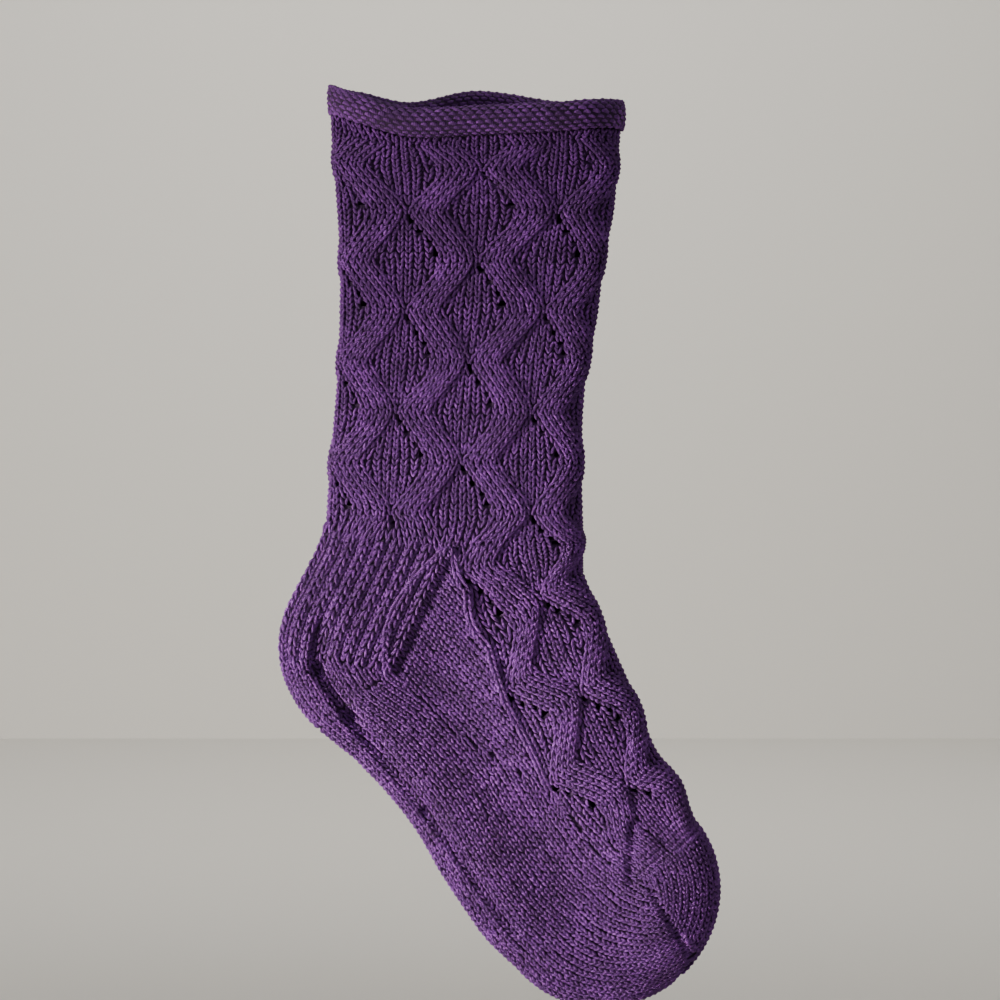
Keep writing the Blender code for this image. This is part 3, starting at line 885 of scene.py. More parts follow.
@dataclass
class Strands:
    """Strands of yarn as paths of five stops with the way that the knitting faces there."""

    paths: list = field(default_factory=list)
    facings: list = field(default_factory=list)
    radii: list = field(default_factory=list)
    taper: tuple = (0.78, 1.0, 0.80)
    flatness: float = 0.78

    def add(self, path: np.ndarray, facing: np.ndarray, radius: np.ndarray) -> None:
        """Add strands, each a path of five points.

        Args:
            path: Five points for each strand.
            facing: Way that the knitting faces at each.
            radius: Radius of each strand.
        """
        self.paths.append(path)
        self.facings.append(facing)
        self.radii.append(np.broadcast_to(radius, path.shape[:1]))

    def mesh(self, name: str, sides: int = 5) -> bpy.types.Mesh:
        """Skin the strands as closed tapered tubes.

        Args:
            name: Name of the mesh.
            sides: Corners round each strand.

        Returns:
            Mesh with UVs in shares along and turns round each strand.
        """
        path, facing = np.concatenate(self.paths), np.concatenate(self.facings)
        radius = np.concatenate(self.radii)
        run = unit(np.gradient(path, axis=1))
        across = unit(np.cross(run, facing))
        out = unit(np.cross(across, run))
        taper = np.array(self.taper)
        turn = np.arange(sides) / sides * 2 * math.pi
        ring = path[:, 1:4, None, :] + (radius[:, None, None, None] * taper[None, :, None, None]) * (
            np.cos(turn)[None, None, :, None] * across[:, 1:4, None, :]
            + self.flatness * np.sin(turn)[None, None, :, None] * out[:, 1:4, None, :]
        )
        count = len(path)
        each = 3 * sides + 2
        verts = np.zeros((count, each, 3))
        verts[:, 0], verts[:, -1] = path[:, 0], path[:, 4]
        verts[:, 1:-1] = ring.reshape(count, 3 * sides, 3)
        faces, uvs = self.strand_faces(sides)
        quads, quad_uvs = faces["quads"], uvs["quads"]
        tris, tri_uvs = faces["tris"], uvs["tris"]
        shift = (np.arange(count) * each)[:, None, None]
        all_quads = (quads[None] + shift).reshape(-1, 4)
        all_tris = (tris[None] + shift).reshape(-1, 3)
        loops = np.concatenate((all_quads.ravel(), all_tris.ravel()))
        uv = np.concatenate((np.tile(quad_uvs.reshape(-1, 2), (count, 1)),
                             np.tile(tri_uvs.reshape(-1, 2), (count, 1))))
        totals = np.concatenate((np.full(len(all_quads), 4), np.full(len(all_tris), 3)))
        return fill_mesh(name, verts.reshape(-1, 3), loops, totals, uv)

    @staticmethod
    def strand_faces(sides: int) -> tuple:
        """Corners and UVs of the faces of one strand with five stops.

        Args:
            sides: Corners round the strand.

        Returns:
            Corners, and UVs, of the quads and the tris.
        """
        quads, tris, quad_uvs, tri_uvs = [], [], [], []
        last = 3 * sides + 1
        for i in range(sides):
            j = (i + 1) % sides
            left, right = i / sides, (i + 1) / sides
            for ring in range(2):
                a, b = 1 + ring * sides, 1 + (ring + 1) * sides
                quads.append((a + i, a + j, b + j, b + i))
                low, high = (ring + 1) / 4, (ring + 2) / 4
                quad_uvs.append(((left, low), (right, low), (right, high), (left, high)))
            tris.append((0, 1 + j, 1 + i))
            tri_uvs.append((((left + right) / 2, 0.0), (right, 0.25), (left, 0.25)))
            tris.append((last, last - sides + i, last - sides + j))
            tri_uvs.append((((left + right) / 2, 1.0), (left, 0.75), (right, 0.75)))
        return (
            {"quads": np.array(quads), "tris": np.array(tris)},
            {"quads": np.array(quad_uvs), "tris": np.array(tri_uvs)},
        )


def fill_mesh(name: str, verts: np.ndarray, loops: np.ndarray, totals: np.ndarray,
              uv: np.ndarray | None = None) -> bpy.types.Mesh:
    """Make a smooth mesh from arrays.

    Args:
        name: Name of the mesh.
        verts: Vertices.
        loops: Vertex of each face corner, face after face.
        totals: Number of corners of each face.
        uv: UV of each corner, if the mesh has UVs.

    Returns:
        The mesh.
    """
    mesh = bpy.data.meshes.new(name)
    mesh.vertices.add(len(verts))
    mesh.vertices.foreach_set("co", verts.astype(np.float32).ravel())
    mesh.loops.add(len(loops))
    mesh.loops.foreach_set("vertex_index", loops.astype(np.int32))
    starts = np.concatenate(([0], np.cumsum(totals)[:-1])).astype(np.int32)
    mesh.polygons.add(len(totals))
    mesh.polygons.foreach_set("loop_start", starts)
    mesh.update(calc_edges=True)
    mesh.validate()
    mesh.shade_smooth()
    if uv is not None:
        layer = mesh.uv_layers.new(name="strand")
        layer.uv.foreach_set("vector", uv.astype(np.float32).ravel())
    return mesh


@dataclass
class Knitter:
    """Lays stitches on the sock's face from lattices of wales and rows."""

    form: SockForm
    strands: Strands
    radius: float = 0.70 * MM
    seed: int = 7
    foot: float = 0.07
    head: float = 0.46
    uneven: float = 0.07
    wobble: float = 0.045
    down_shares: tuple = (0.0, 0.24, 0.52, 0.80, 1.0)
    out_shares: tuple = (0.0, 0.26, 0.58, 0.84, 0.90)
    heights: tuple = (-1.35, -0.46, -0.06, -0.42, -1.35)
    purl_thick: float = 1.34
    purl_uneven: float = 0.08
    purl_tilt: tuple = (0.34, 0.16)
    purl_shares: tuple = (-0.66, -0.36, 0.0, 0.36, 0.66)
    purl_arch: tuple = (0.50, 0.16, -0.10, 0.16, 0.50)
    purl_heights: tuple = (-1.4, -0.30, 0.1, -0.30, -1.4)

    def __post_init__(self) -> None:
        """Start the draw of small irregularities."""
        self.random = np.random.default_rng(self.seed)

    def legs(self, wale: np.ndarray, row: np.ndarray, place: Callable, kind: Stitch = Stitch.KNIT,
             lift: float = 0.0, thick: float = 1.0) -> None:
        """Lay the two legs of each stitch, which meet towards the cuff.

        Args:
            wale: Middle of each stitch, in wales.
            row: Top of each stitch, in rows.
            place: Function from wales and rows to shares around and along.
            kind: Way that the stitches are knitted.
            lift: Height above the usual one.
            thick: Thickness as a share of the usual one.
        """
        share, out = np.array(self.down_shares), np.array(self.out_shares)
        wobble = self.random.normal(0.0, self.wobble, (2, 2, len(wale)))
        size = self.random.normal(1.0, self.uneven, (2, len(wale)))
        for leg, sign in enumerate((-1, 1)):
            reach = self.foot + (self.head - self.foot) * out
            wales = wale[:, None] + sign * reach[None] + wobble[leg, 0][:, None]
            rows = row[:, None] + kind.value * share[None] + wobble[leg, 1][:, None]
            around, along = place(wales, rows)
            point, facing = self.form.face(around, along)
            height = np.array(self.heights) * MM + lift
            point = point + facing * height[None, :, None]
            self.strands.add(point, facing, self.radius * thick * size[leg])

    def purls(self, wale: np.ndarray, row: np.ndarray, surface: Callable, lift: float = 0.0
              ) -> None:
        """Lay the level bumps of stitches seen from the back.

        Args:
            wale: Middle of each bump, in wales.
            row: Row of each bump.
            surface: Function from wales and rows to points and facings.
            lift: Height above the surface.
        """
        share, arch = np.array(self.purl_shares), np.array(self.purl_arch)
        size = self.random.normal(1.0, self.purl_uneven, len(wale))
        tilt = self.random.normal(*self.purl_tilt, len(wale))
        wales = wale[:, None] + share[None]
        rows = row[:, None] + arch[None] + tilt[:, None] * share[None]
        point, facing = surface(wales, rows)
        height = np.array(self.purl_heights) * MM + lift
        point = point + facing * height[None, :, None]
        self.strands.add(point, facing, self.purl_thick * self.radius * size)


def hex_linear(colour: str) -> tuple:
    """Turn an sRGB hex colour to linear red, green, blue and full alpha."""
    shares = [int(colour[i:i + 2], 16) / 255 for i in (1, 3, 5)]
    linear = [s / 12.92 if s <= 0.04045 else ((s + 0.055) / 1.055) ** 2.4 for s in shares]
    return (*linear, 1.0)


def add_node(tree: bpy.types.NodeTree, kind: str, settings: dict | None = None,
             inputs: dict | None = None) -> bpy.types.Node:
    """Add a node with its settings, its input values and its links.

    Args:
        tree: Tree that gets the node.
        kind: Blender's name of the node type.
        settings: Properties to set.
        inputs: Values, or output sockets to link from, by input name or number.

    Returns:
        The node.
    """
    node = tree.nodes.new(kind)
    for name, value in (settings or {}).items():
        setattr(node, name, value)
    for name, value in (inputs or {}).items():
        if isinstance(value, bpy.types.NodeSocket):
            tree.links.new(value, node.inputs[name])
        else:
            node.inputs[name].default_value = value
    return node


def start_material(name: str, roughness: float, ior: float = 1.5) -> tuple:
    """Start a material.

    Args:
        name: Name of the material.
        roughness: Roughness of its surface.
        ior: Its index of refraction.

    Returns:
        The material, its node tree and its shader.
    """
    material = bpy.data.materials.new(name)
    material.use_nodes = True
    shader = material.node_tree.nodes["Principled BSDF"]
    shader.inputs["Roughness"].default_value = roughness
    shader.inputs["IOR"].default_value = ior
    return material, material.node_tree, shader


@dataclass(frozen=True)
class PliedWool:
    """Wool sock yarn, spun, plied and hand-dyed: matt, with a soft halo of fibre ends."""

    name: str = "wool_plied_hand_dyed"
    base: str = "#602A77"
    dark: str = "#431953"
    pale: str = "#8A44A8"
    roughness: float = 0.82
    ior: float = 1.55
    sheen: float = 0.14
    sheen_roughness: float = 0.45
    sheen_tint: str = "#A873C2"
    ply_bump: float = 0.18 * MM
    ply_turns: float = 2.6

    def material(self) -> bpy.types.Material:
        """Build the material.

        Returns:
            Material whose colour drifts from stitch to stitch and whose plies show as ridges.
        """
        material, tree, shader = start_material(self.name, self.roughness, self.ior)
        shader.inputs["Sheen Weight"].default_value = self.sheen
        shader.inputs["Sheen Roughness"].default_value = self.sheen_roughness
        shader.inputs["Sheen Tint"].default_value = hex_linear(self.sheen_tint)
        place = add_node(tree, "ShaderNodeTexCoord")
        # Dye takes unevenly over stretches of a few stitches, 12 mm across
        dye = add_node(tree, "ShaderNodeTexNoise", {}, {
            "Vector": place.outputs["Object"], "Scale": 85.0, "Detail": 2.0})
        # Fibre ends lighten and darken single strands, 1.5 mm across
        fibre = add_node(tree, "ShaderNodeTexNoise", {}, {
            "Vector": place.outputs["Object"], "Scale": 650.0, "Detail": 3.0})
        # Half of the dye's range, so that it drifts and doesn't blotch
        even = add_node(tree, "ShaderNodeMath", {"operation": "MULTIPLY_ADD"}, {
            0: dye.outputs["Fac"], 1: 0.5, 2: 0.18})
        mixed = add_node(tree, "ShaderNodeMath", {"operation": "MULTIPLY_ADD"}, {
            0: fibre.outputs["Fac"], 1: 0.75, 2: even.outputs[0]})
        ramp = add_node(tree, "ShaderNodeValToRGB", {}, {"Fac": mixed.outputs[0]})
        ramp.color_ramp.elements[0].position = 0.52
        ramp.color_ramp.elements[0].color = hex_linear(self.dark)
        ramp.color_ramp.elements[1].position = 1.0
        ramp.color_ramp.elements[1].color = hex_linear(self.pale)
        middle = ramp.color_ramp.elements.new(0.80)
        middle.color = hex_linear(self.base)
        tree.links.new(ramp.outputs["Color"], shader.inputs["Base Color"])
        self.add_plies(tree, shader)
        return material

    def add_plies(self, tree: bpy.types.NodeTree, shader: bpy.types.Node) -> None:
        """Raise the twisted plies along each strand, from the strand's own UVs."""
        uv = add_node(tree, "ShaderNodeUVMap", {"uv_map": "strand"})
        split = add_node(tree, "ShaderNodeSeparateXYZ", {}, {0: uv.outputs["UV"]})
        along = add_node(tree, "ShaderNodeMath", {"operation": "MULTIPLY_ADD"}, {
            0: split.outputs["Y"], 1: self.ply_turns, 2: split.outputs["X"]})
        # Three plies go once round the strand
        angle = add_node(tree, "ShaderNodeMath", {"operation": "MULTIPLY"}, {
            0: along.outputs[0], 1: 3 * 2 * math.pi})
        wave = add_node(tree, "ShaderNodeMath", {"operation": "SINE"}, {0: angle.outputs[0]})
        bump = add_node(tree, "ShaderNodeBump", {}, {
            "Height": wave.outputs[0], "Distance": self.ply_bump, "Strength": 0.6})
        tree.links.new(bump.outputs["Normal"], shader.inputs["Normal"])


@dataclass(frozen=True)
class KnitBackingPaintedShade:
    """Yarn in the depth of the knitting, which the sock has there: its darker colour is painted
    shade, since light hardly reaches it.
    """

    name: str = "wool_knit_depth_painted_shade"
    # Painted shade: both colours are darker than the wool's own, for the shade in the depth of the
    # knitting
    base: str = "#2A1233"
    pale: str = "#3C1B47"
    roughness: float = 0.95

    def material(self) -> bpy.types.Material:
        """Build the material, with level ridges at the pitch of the rows, 2.4 mm, and a colour
        painted darker in their grooves and paler on their crests, as painted shade.
        """
        material, tree, shader = start_material(self.name, self.roughness)
        place = add_node(tree, "ShaderNodeTexCoord")
        wave = add_node(tree, "ShaderNodeTexWave", {"bands_direction": "Z"}, {
            "Vector": place.outputs["Object"], "Scale": 65.0, "Distortion": 2.5,
            "Detail": 2.0, "Detail Scale": 4.0})
        # Painted shade: the ridges' height also picks the colour, darker in the grooves and paler on
        # the crests
        mix = add_node(tree, "ShaderNodeMix", {"data_type": "RGBA"}, {
            0: wave.outputs["Fac"], 6: hex_linear(self.base), 7: hex_linear(self.pale)})
        tree.links.new(mix.outputs[2], shader.inputs["Base Color"])
        bump = add_node(tree, "ShaderNodeBump", {}, {
            "Height": wave.outputs["Fac"], "Distance": 0.6 * MM, "Strength": 0.8})
        tree.links.new(bump.outputs["Normal"], shader.inputs["Normal"])
        return material


@dataclass(frozen=True)
class StudioPaint:
    """Matt emulsion on the studio's floor and wall: pale and even."""

    name: str = "studio_emulsion_rolled"
    base: str = "#D8D5CF"
    roughness: float = 0.9

    def material(self) -> bpy.types.Material:
        """Build the material, with the faint stipple of a roller."""
        material, tree, shader = start_material(self.name, self.roughness)
        shader.inputs["Base Color"].default_value = hex_linear(self.base)
        place = add_node(tree, "ShaderNodeTexCoord")
        stipple = add_node(tree, "ShaderNodeTexNoise", {}, {
            "Vector": place.outputs["Object"], "Scale": 300.0})
        bump = add_node(tree, "ShaderNodeBump", {}, {
            "Height": stipple.outputs["Fac"], "Distance": 0.2 * MM, "Strength": 0.2})
        tree.links.new(bump.outputs["Normal"], shader.inputs["Normal"])
        return material


@dataclass
class SockFabric:
    """The knitting below the cuff: its lattices of stitches and the backing behind them."""

    form: SockForm
    lace: Lace
    wale: float = 3.2 * MM
    row: float = 2.42 * MM
    flap_rows: int = 30
    flap_wales: int = QUARTER
    rib_lift: float = 0.45 * MM
    rib_thick: float = 1.15
    turn_wales: int = 14
    turn_rows: int = 24
    turn_overlap: float = 0.03
    turn_wale_share: float = 0.0115
    turn_row_share: float = 0.0178
    gusset_wales: int = 18
    gusset_rows: int = 40
    gusset_slant: float = math.radians(47)
    ridge_lift: float = 0.55 * MM
    ridge_wale_share: float = 0.026
    spaced_row: float = 1.08
    sole_wales: int = 22
    sole_inner: float = 0.62
    toe_wales: int = 16
    toe_inner: float = 0.72
    toe_last_row: float = 2.985
    toe_end: float = 2.9995
    top_way: float = math.radians(220)
    top_turn: float = math.radians(50)
    first_hole_row: int = 7
    rows_past_holes: int = 3
    hole_inset: float = 0.3
    hole_margin: float = 0.035
    hole_clearance: float = 1.35 * MM
    hole_opening: float = 1.9 * MM
    backing_columns: int = 116
    backing_rows: tuple = (84, 46, 52, 26)
    backing_depth: float = 1.25 * MM

    def __post_init__(self) -> None:
        """Start with no strands, and work out the outlines of the sections."""
        self.strands = Strands()
        self.knitter = Knitter(self.form, self.strands)
        self.hole_spots = []
        self.outlines = self.section_outlines()

    def section_outlines(self) -> dict:
        """Flat outlines of the knitted sections below the cuff.

        Returns:
            Outline by section.
        """
        form = self.form
        past_toe = form.toeward * 2 * form.toe_length
        past_cuff = np.array((0.0, form.leg_length + form.leg_width))
        seam = {name: form.flat(place.across, place.along)[0] for name, place in SEAMS.items()}
        behind = {name: form.flat(-0.35, place.along)[0] for name, place in SEAMS.items()}
        leg_front = form.flat(1.35, SEAMS["flap_corner"].along)[0]
        instep_front = form.flat(1.35, SEAMS["sole_back"].along)[0]
        toe_front = form.flat(1.35, SEAMS["toe_seam"].along)[0]
        edge = [seam["gusset_top"], seam["gusset_middle"], seam["gusset_low"]]
        outlines = {
            "leg": [behind["flap_start"], seam["flap_corner"], leg_front, leg_front + past_cuff,
                    behind["flap_start"] + past_cuff],
            "heel_flap": [behind["flap_start"], behind["turn_start"], seam["flap_end"],
                          seam["selvedge_foot"], seam["flap_corner"]],
            "heel_turn": [behind["turn_start"], behind["turn_end"], seam["selvedge_foot"],
                          seam["flap_end"]],
            "gusset": [seam["flap_corner"], seam["selvedge_foot"], seam["gusset_seam"],
                       seam["gusset_tip"], *reversed(edge)],
            "sole": [behind["turn_end"], behind["sole_back"], behind["toe_seam"],
                     seam["toe_seam"], seam["sole_edge"], seam["gusset_tip"],
                     seam["gusset_seam"], seam["selvedge_foot"]],
            "instep": [leg_front, seam["flap_corner"], *edge, seam["gusset_tip"],
                       seam["sole_edge"], seam["toe_seam"], toe_front, instep_front],
            "toe": [behind["toe_seam"], behind["toe_seam"] + past_toe, toe_front + past_toe,
                    toe_front, seam["toe_seam"]],
        }
        return {name: np.array(outline) for name, outline in outlines.items()}

    def within(self, names: tuple, around: np.ndarray, along: np.ndarray) -> np.ndarray:
        """Tell which places lie in the named sections.

        Args:
            names: Names of sections.
            around: Shares round the sock.
            along: Shares along it.

        Returns:
            True for each place that lies in one of them.
        """
        spots = self.form.flat(self.form.across_at(around), along)
        result = np.zeros(len(spots), dtype=bool)
        for name in names:
            result |= inside(self.outlines[name], spots)
        return result

    def knit(self, names: tuple, wale: np.ndarray, row: np.ndarray, place: Callable,
             middle: float = STITCH_MIDDLE, **options) -> None:
        """Lay the stitches of a lattice whose middles lie in the named sections.

        Args:
            names: Names of sections.
            wale: Middle of each stitch, in wales.
            row: Top of each stitch, in rows.
            place: Function from wales and rows to shares around and along.
            middle: Rows from a stitch's top to its middle.
            options: Kind, lift and thickness of the stitches.
        """
        around, along = place(wale, row + middle)
        keep = self.within(names, around, along) & ~self.near_hole(around, along)
        self.knitter.legs(wale[keep], row[keep], place, **options)

    def near_hole(self, around: np.ndarray, along: np.ndarray) -> np.ndarray:
        """Tell which places lie in a lace hole.

        Args:
            around: Shares round the sock.
            along: Shares along it.

        Returns:
            True for each place that lies in a hole.
        """
        result = np.zeros(len(around), dtype=bool)
        if not self.hole_spots:
            return result
        points, _ = self.form.face(around, along)
        for hole in self.hole_spots:
            result |= np.linalg.norm(points - hole, axis=1) < self.hole_clearance
        return result

    def lace_place(self, wales: np.ndarray, rows: np.ndarray) -> tuple:
        """Shares around and along of the straight wales, 72 round the leg.

        Args:
            wales: Wales to place.
            rows: Rows to place.

        Returns:
            Shares around and along.
        """
        along = self.form.place_down(rows * self.row)
        column = self.lace.leaned(wales, rows * self.row)
        return column_around(column, instep_edge(self.form, along)), along

    def band_place(self, wales: np.ndarray, rows: np.ndarray) -> tuple:
        """Shares around and along of the wales in the bands.

        Args:
            wales: Wales to place.
            rows: Rows to place.

        Returns:
            Shares around and along.
        """
        along = self.form.place_down(rows * self.row)
        column = self.lace.banded(wales, rows * self.row)
        return column_around(column, instep_edge(self.form, along)), along

    def lace_rows(self) -> int:
        """Whole rows from the cuff to the toe's seam."""
        return int(self.form.run_down(np.array((SEAMS["toe_seam"].along,)))[0] / self.row)

    def find_holes(self) -> None:
        """Place the lace holes, a run of four down the left edge of each leaning band."""
        rows = self.lace_rows()
        lace = self.lace
        for repeat in range(lace.repeats):
            for turn in range(-1, rows // lace.rows + 1):
                for phase in lace.hole_phases:
                    row = (phase + lace.start + 0.5 * (repeat % 2) + turn) * lace.rows
                    if not self.first_hole_row < row < rows - self.rows_past_holes:
                        continue
                    middle = (repeat + 0.5) * lace.stitches + lace.first_wale
                    lean = lace.lean(np.array((phase,)))
                    column = middle + lean - lace.band - self.hole_inset
                    along = self.form.place_down(np.array((row * self.row,)))
                    around = column_around(column, instep_edge(self.form, along))
                    below = along + self.hole_margin
                    if self.within(("leg", "instep"), around, below)[0]:
                        self.hole_spots.append(self.form.face(around, along)[0][0])

    def knit_lace(self) -> None:
        """Knit the leg and the instep: bands that lean, over straight wales that stop at them."""
        rows = np.arange(self.lace_rows() + 1)
        lace = self.lace
        wale, row = lattice(np.arange(WALES) + 0.5, rows)
        run = (row + STITCH_MIDDLE) * self.row
        clear = np.abs(lace.from_band(lace.leaned(wale, run), run)) > lace.band + 0.02
        self.knit(("leg", "instep"), wale[clear], row[clear], self.lace_place, LACE_MIDDLE)
        middles = (np.arange(lace.repeats) + 0.5) * lace.stitches + lace.first_wale
        band = (middles[:, None] + np.arange(-2, 3)[None]).ravel()
        self.knit(("leg", "instep"), *lattice(band, rows), self.band_place, LACE_MIDDLE)

    def flap_place(self, wales: np.ndarray, rows: np.ndarray) -> tuple:
        """Shares around and along on the heel flap, 18 wales to each side of its middle.

        Args:
            wales: Wales to place.
            rows: Rows to place.

        Returns:
            Shares around and along.
        """
        form = self.form
        shape = np.shape(wales)
        wales, rows = np.ravel(wales), np.ravel(rows)
        v = rows / self.flap_rows
        corner, foot = (form.flat(*SEAMS[name])[0] for name in ("flap_corner", "selvedge_foot"))
        start, end = SEAMS["flap_start"].along, SEAMS["turn_start"].along
        fold = form.flat(np.zeros(len(v)), start + (end - start) * v)
        edge = corner + (foot - corner) * v[:, None]
        width = np.linalg.norm(edge - fold, axis=1)
        run = form.turn_share(width / form.foot_width) * np.abs(wales) / self.flap_wales
        inward = form.turned_across(run) * form.foot_width
        across, along = form.unflat(fold + unit(edge - fold) * inward[:, None])
        around = np.sign(wales) * form.turn_share(across) / 2
        return around.reshape(shape), along.reshape(shape)

    def knit_flap(self) -> None:
        """Knit the heel flap: raised ribs of slipped stitches between sunken knit wales."""
        wales = np.arange(-self.flap_wales, self.flap_wales) + 0.5
        wale, row = lattice(wales, np.arange(self.flap_rows + 10) - 2.0)
        slipped = (np.floor(np.abs(wale)).astype(int) % 2) == 1
        odd = (row.astype(int) % 2) == 1
        rib = slipped & ~odd
        self.knit(("heel_flap",), wale[rib], row[rib], self.flap_place, kind=Stitch.SLIPPED,
                  lift=self.rib_lift, thick=self.rib_thick)
        plain = ~slipped
        self.knit(("heel_flap",), wale[plain], row[plain], self.flap_place, lift=-self.rib_lift)

    def sole_fan(self, wales: np.ndarray, rows: np.ndarray) -> tuple:
        """Shares around and along on the sole, whose wales keep beside the bottom fold."""
        return self.fan(wales, rows, self.sole_guide)

    def top_fan(self, wales: np.ndarray, rows: np.ndarray) -> tuple:
        """Shares around and along on the top of the toe, whose wales keep beside its fold."""
        return self.fan(wales, rows, self.top_guide)

    def fan(self, wales: np.ndarray, rows: np.ndarray, guide: tuple) -> tuple:
        """Shares around and along for wales beside a fold and rows between two lines.

        Args:
            wales: Wales from the fold, negative on the far side.
            rows: Rows from the start of the guide.
            guide: Flat places on the fold and on the inner line, a row apart.

        Returns:
            Shares around and along.
        """
        shape = np.shape(wales)
        wales, rows = np.ravel(wales), np.ravel(rows)
        outer, inner = guide
        count = np.arange(len(outer))
        start, end = read_line(rows, count, outer), read_line(rows, count, inner)
        run = self.form.flat_run(np.abs(wales) * self.wale, self.form.foot_width)
        across, along = self.form.unflat(start + unit(end - start) * run[:, None])
        turn = self.form.turn_share(across) / 2
        near = wales > 0
        around = np.where(near, turn, 1 - turn)
        return around.reshape(shape), along.reshape(shape)

    def make_guides(self) -> None:
        """Lay out the rows of the sole and of the top of the toe, which fan round its curve."""
        form = self.form
        foot = np.linspace(SEAMS["turn_end"].along - 0.11, SEAMS["sole_edge"].along, 60)
        tip = SEAMS["sole_edge"].along
        reach = np.sin(np.linspace(0.0, math.pi / 2, 80))
        toe = tip + (self.toe_end - tip) * reach
        fold = np.concatenate((form.flat(np.zeros(60), foot), form.flat(np.zeros(80), toe)[1:]))
        end_across = np.concatenate((np.full(60, self.sole_inner),
                                     np.linspace(self.sole_inner, self.toe_inner, 79)))
        end_along = np.concatenate((foot, np.linspace(tip, self.toe_last_row, 79)))
        line = form.flat(end_across, end_along)
        self.sole_guide = self.even_rows(fold, line)
        start = SEAMS["toe_seam"].along - 0.02
        fold = form.flat(np.ones(80), start + (self.toe_end - start) * reach)
        steps = lengths_along(fold)
        way = self.top_way - self.top_turn * steps / steps[-1]
        inward = np.stack((np.cos(way), np.sin(way)), axis=1) * form.toe_length
        self.top_guide = self.even_rows(fold, fold + inward)

    def even_rows(self, outer: np.ndarray, inner: np.ndarray) -> tuple:
        """Space two lines in rows, a row apart on the outer one.

        Args:
            outer: Points of the outer line.
            inner: Points of the inner line.

        Returns:
            Both lines with a point for each row.
        """
        length = lengths_along(outer)
        count = int(length[-1] / (self.row * self.spaced_row)) + 1
        even = np.linspace(0.0, length[-1], count)
        return tuple(read_line(even, length, line) for line in (outer, inner))

    def knit_sole(self) -> None:
        """Knit the sole and the lower half of the toe in plain wales."""
        rows = len(self.sole_guide[0])
        wales = np.arange(-self.sole_wales, self.sole_wales) + 0.5
        wale, row = lattice(wales, np.arange(rows - 1))
        around, along = self.sole_fan(wale, row + STITCH_MIDDLE)
        below = half_turn(around) < self.toe_line(along)
        self.knit(("sole", "toe"), wale[below], row[below], self.sole_fan)

    def toe_line(self, along: np.ndarray) -> np.ndarray:
        """Share round one half of the groove where the toe's decreases run."""
        stops = np.array(TOE_LINE)
        return self.form.turn_share(np.interp(along, stops[:, 1], stops[:, 0]))

    def knit_toe_top(self) -> None:
        """Knit the upper half of the toe."""
        rows = len(self.top_guide[0])
        wales = np.arange(-self.toe_wales, self.toe_wales) + 0.5
        wale, row = lattice(wales, np.arange(rows - 1))
        around, along = self.top_fan(wale, row + STITCH_MIDDLE)
        above = half_turn(around) > self.toe_line(along)
        self.knit(("toe",), wale[above], row[above], self.top_fan)

    def turn_place(self, wales: np.ndarray, rows: np.ndarray) -> tuple:
        """Shares around and along under the heel, whose wales keep beside the back fold."""
        start = SEAMS["turn_start"].along - self.turn_overlap
        along = start + np.asarray(rows) * self.turn_row_share
        return np.asarray(wales) * self.turn_wale_share, along

    def knit_turn(self) -> None:
        """Knit the cup under the heel."""
        wales = np.arange(-self.turn_wales, self.turn_wales) + 0.5
        self.knit(("heel_turn",), *lattice(wales, np.arange(self.turn_rows)), self.turn_place)

    def gusset_place(self, side: Side) -> Callable:
        """Function from wales and rows to shares, on the gusset of one side.

        Args:
            side: Side of the gusset.

        Returns:
            The function.
        """
        form = self.form
        corner, foot = (form.flat(*SEAMS[name])[0] for name in ("flap_corner", "selvedge_foot"))
        down = foot - corner
        away = np.array((math.cos(self.gusset_slant), -math.sin(self.gusset_slant)))

        def place(wales: np.ndarray, rows: np.ndarray) -> tuple:
            """Shares around and along of wales that leave the flap's edge."""
            shape = np.shape(wales)
            wales, rows = np.ravel(wales), np.ravel(rows)
            spots = corner + down * (wales / self.gusset_wales)[:, None]
            across, along = form.unflat(spots + away * (rows * self.row)[:, None])
            turn = form.turn_share(across) / 2
            around = turn if side is Side.NEAR else 1 - turn
            return around.reshape(shape), along.reshape(shape)

        return place

    def knit_gussets(self) -> None:
        """Knit the two gussets, whose wales start along the flap's edges."""
        wales = np.arange(-2, self.gusset_wales + 2) + 0.5
        stitches = lattice(wales, np.arange(self.gusset_rows))
        for side in Side:
            self.knit(("gusset",), *stitches, self.gusset_place(side))

    def knit_ridges(self) -> None:
        """Lay the chains of leaning stitches along the flap's edges and the decreases."""
        ridge = ("flap_corner", "gusset_top", "gusset_middle", "gusset_low", "gusset_tip")
        for names, shift in ((ridge, 0.012), (("flap_corner", "selvedge_foot"), -0.010)):
            stops = np.array([SEAMS[name] for name in names])
            spots = self.form.flat(stops[:, 0] + shift, stops[:, 1])
            length = lengths_along(spots)
            pitch = self.spaced_row * self.row
            for side in Side:
                def place(wales: np.ndarray, rows: np.ndarray) -> tuple:
                    """Shares around and along beside the line."""
                    run = np.clip(rows * pitch, 0.0, length[-1])
                    across = np.interp(run, length, stops[:, 0]) + shift
                    across = across + wales * self.ridge_wale_share
                    along = np.interp(run, length, stops[:, 1])
                    turn = self.form.turn_share(across) / 2
                    return (turn if side is Side.NEAR else 1 - turn), along

                row = np.arange(int(length[-1] / pitch)).astype(float)
                self.knitter.legs(np.zeros(len(row)), row, place, kind=Stitch.RIDGE,
                                  lift=self.ridge_lift, thick=self.rib_thick)

    def knit_all(self) -> None:
        """Knit every section below the cuff."""
        self.find_holes()
        self.make_guides()
        self.knit_lace()
        self.knit_flap()
        self.knit_turn()
        self.knit_gussets()
        self.knit_sole()
        self.knit_toe_top()
        self.knit_ridges()

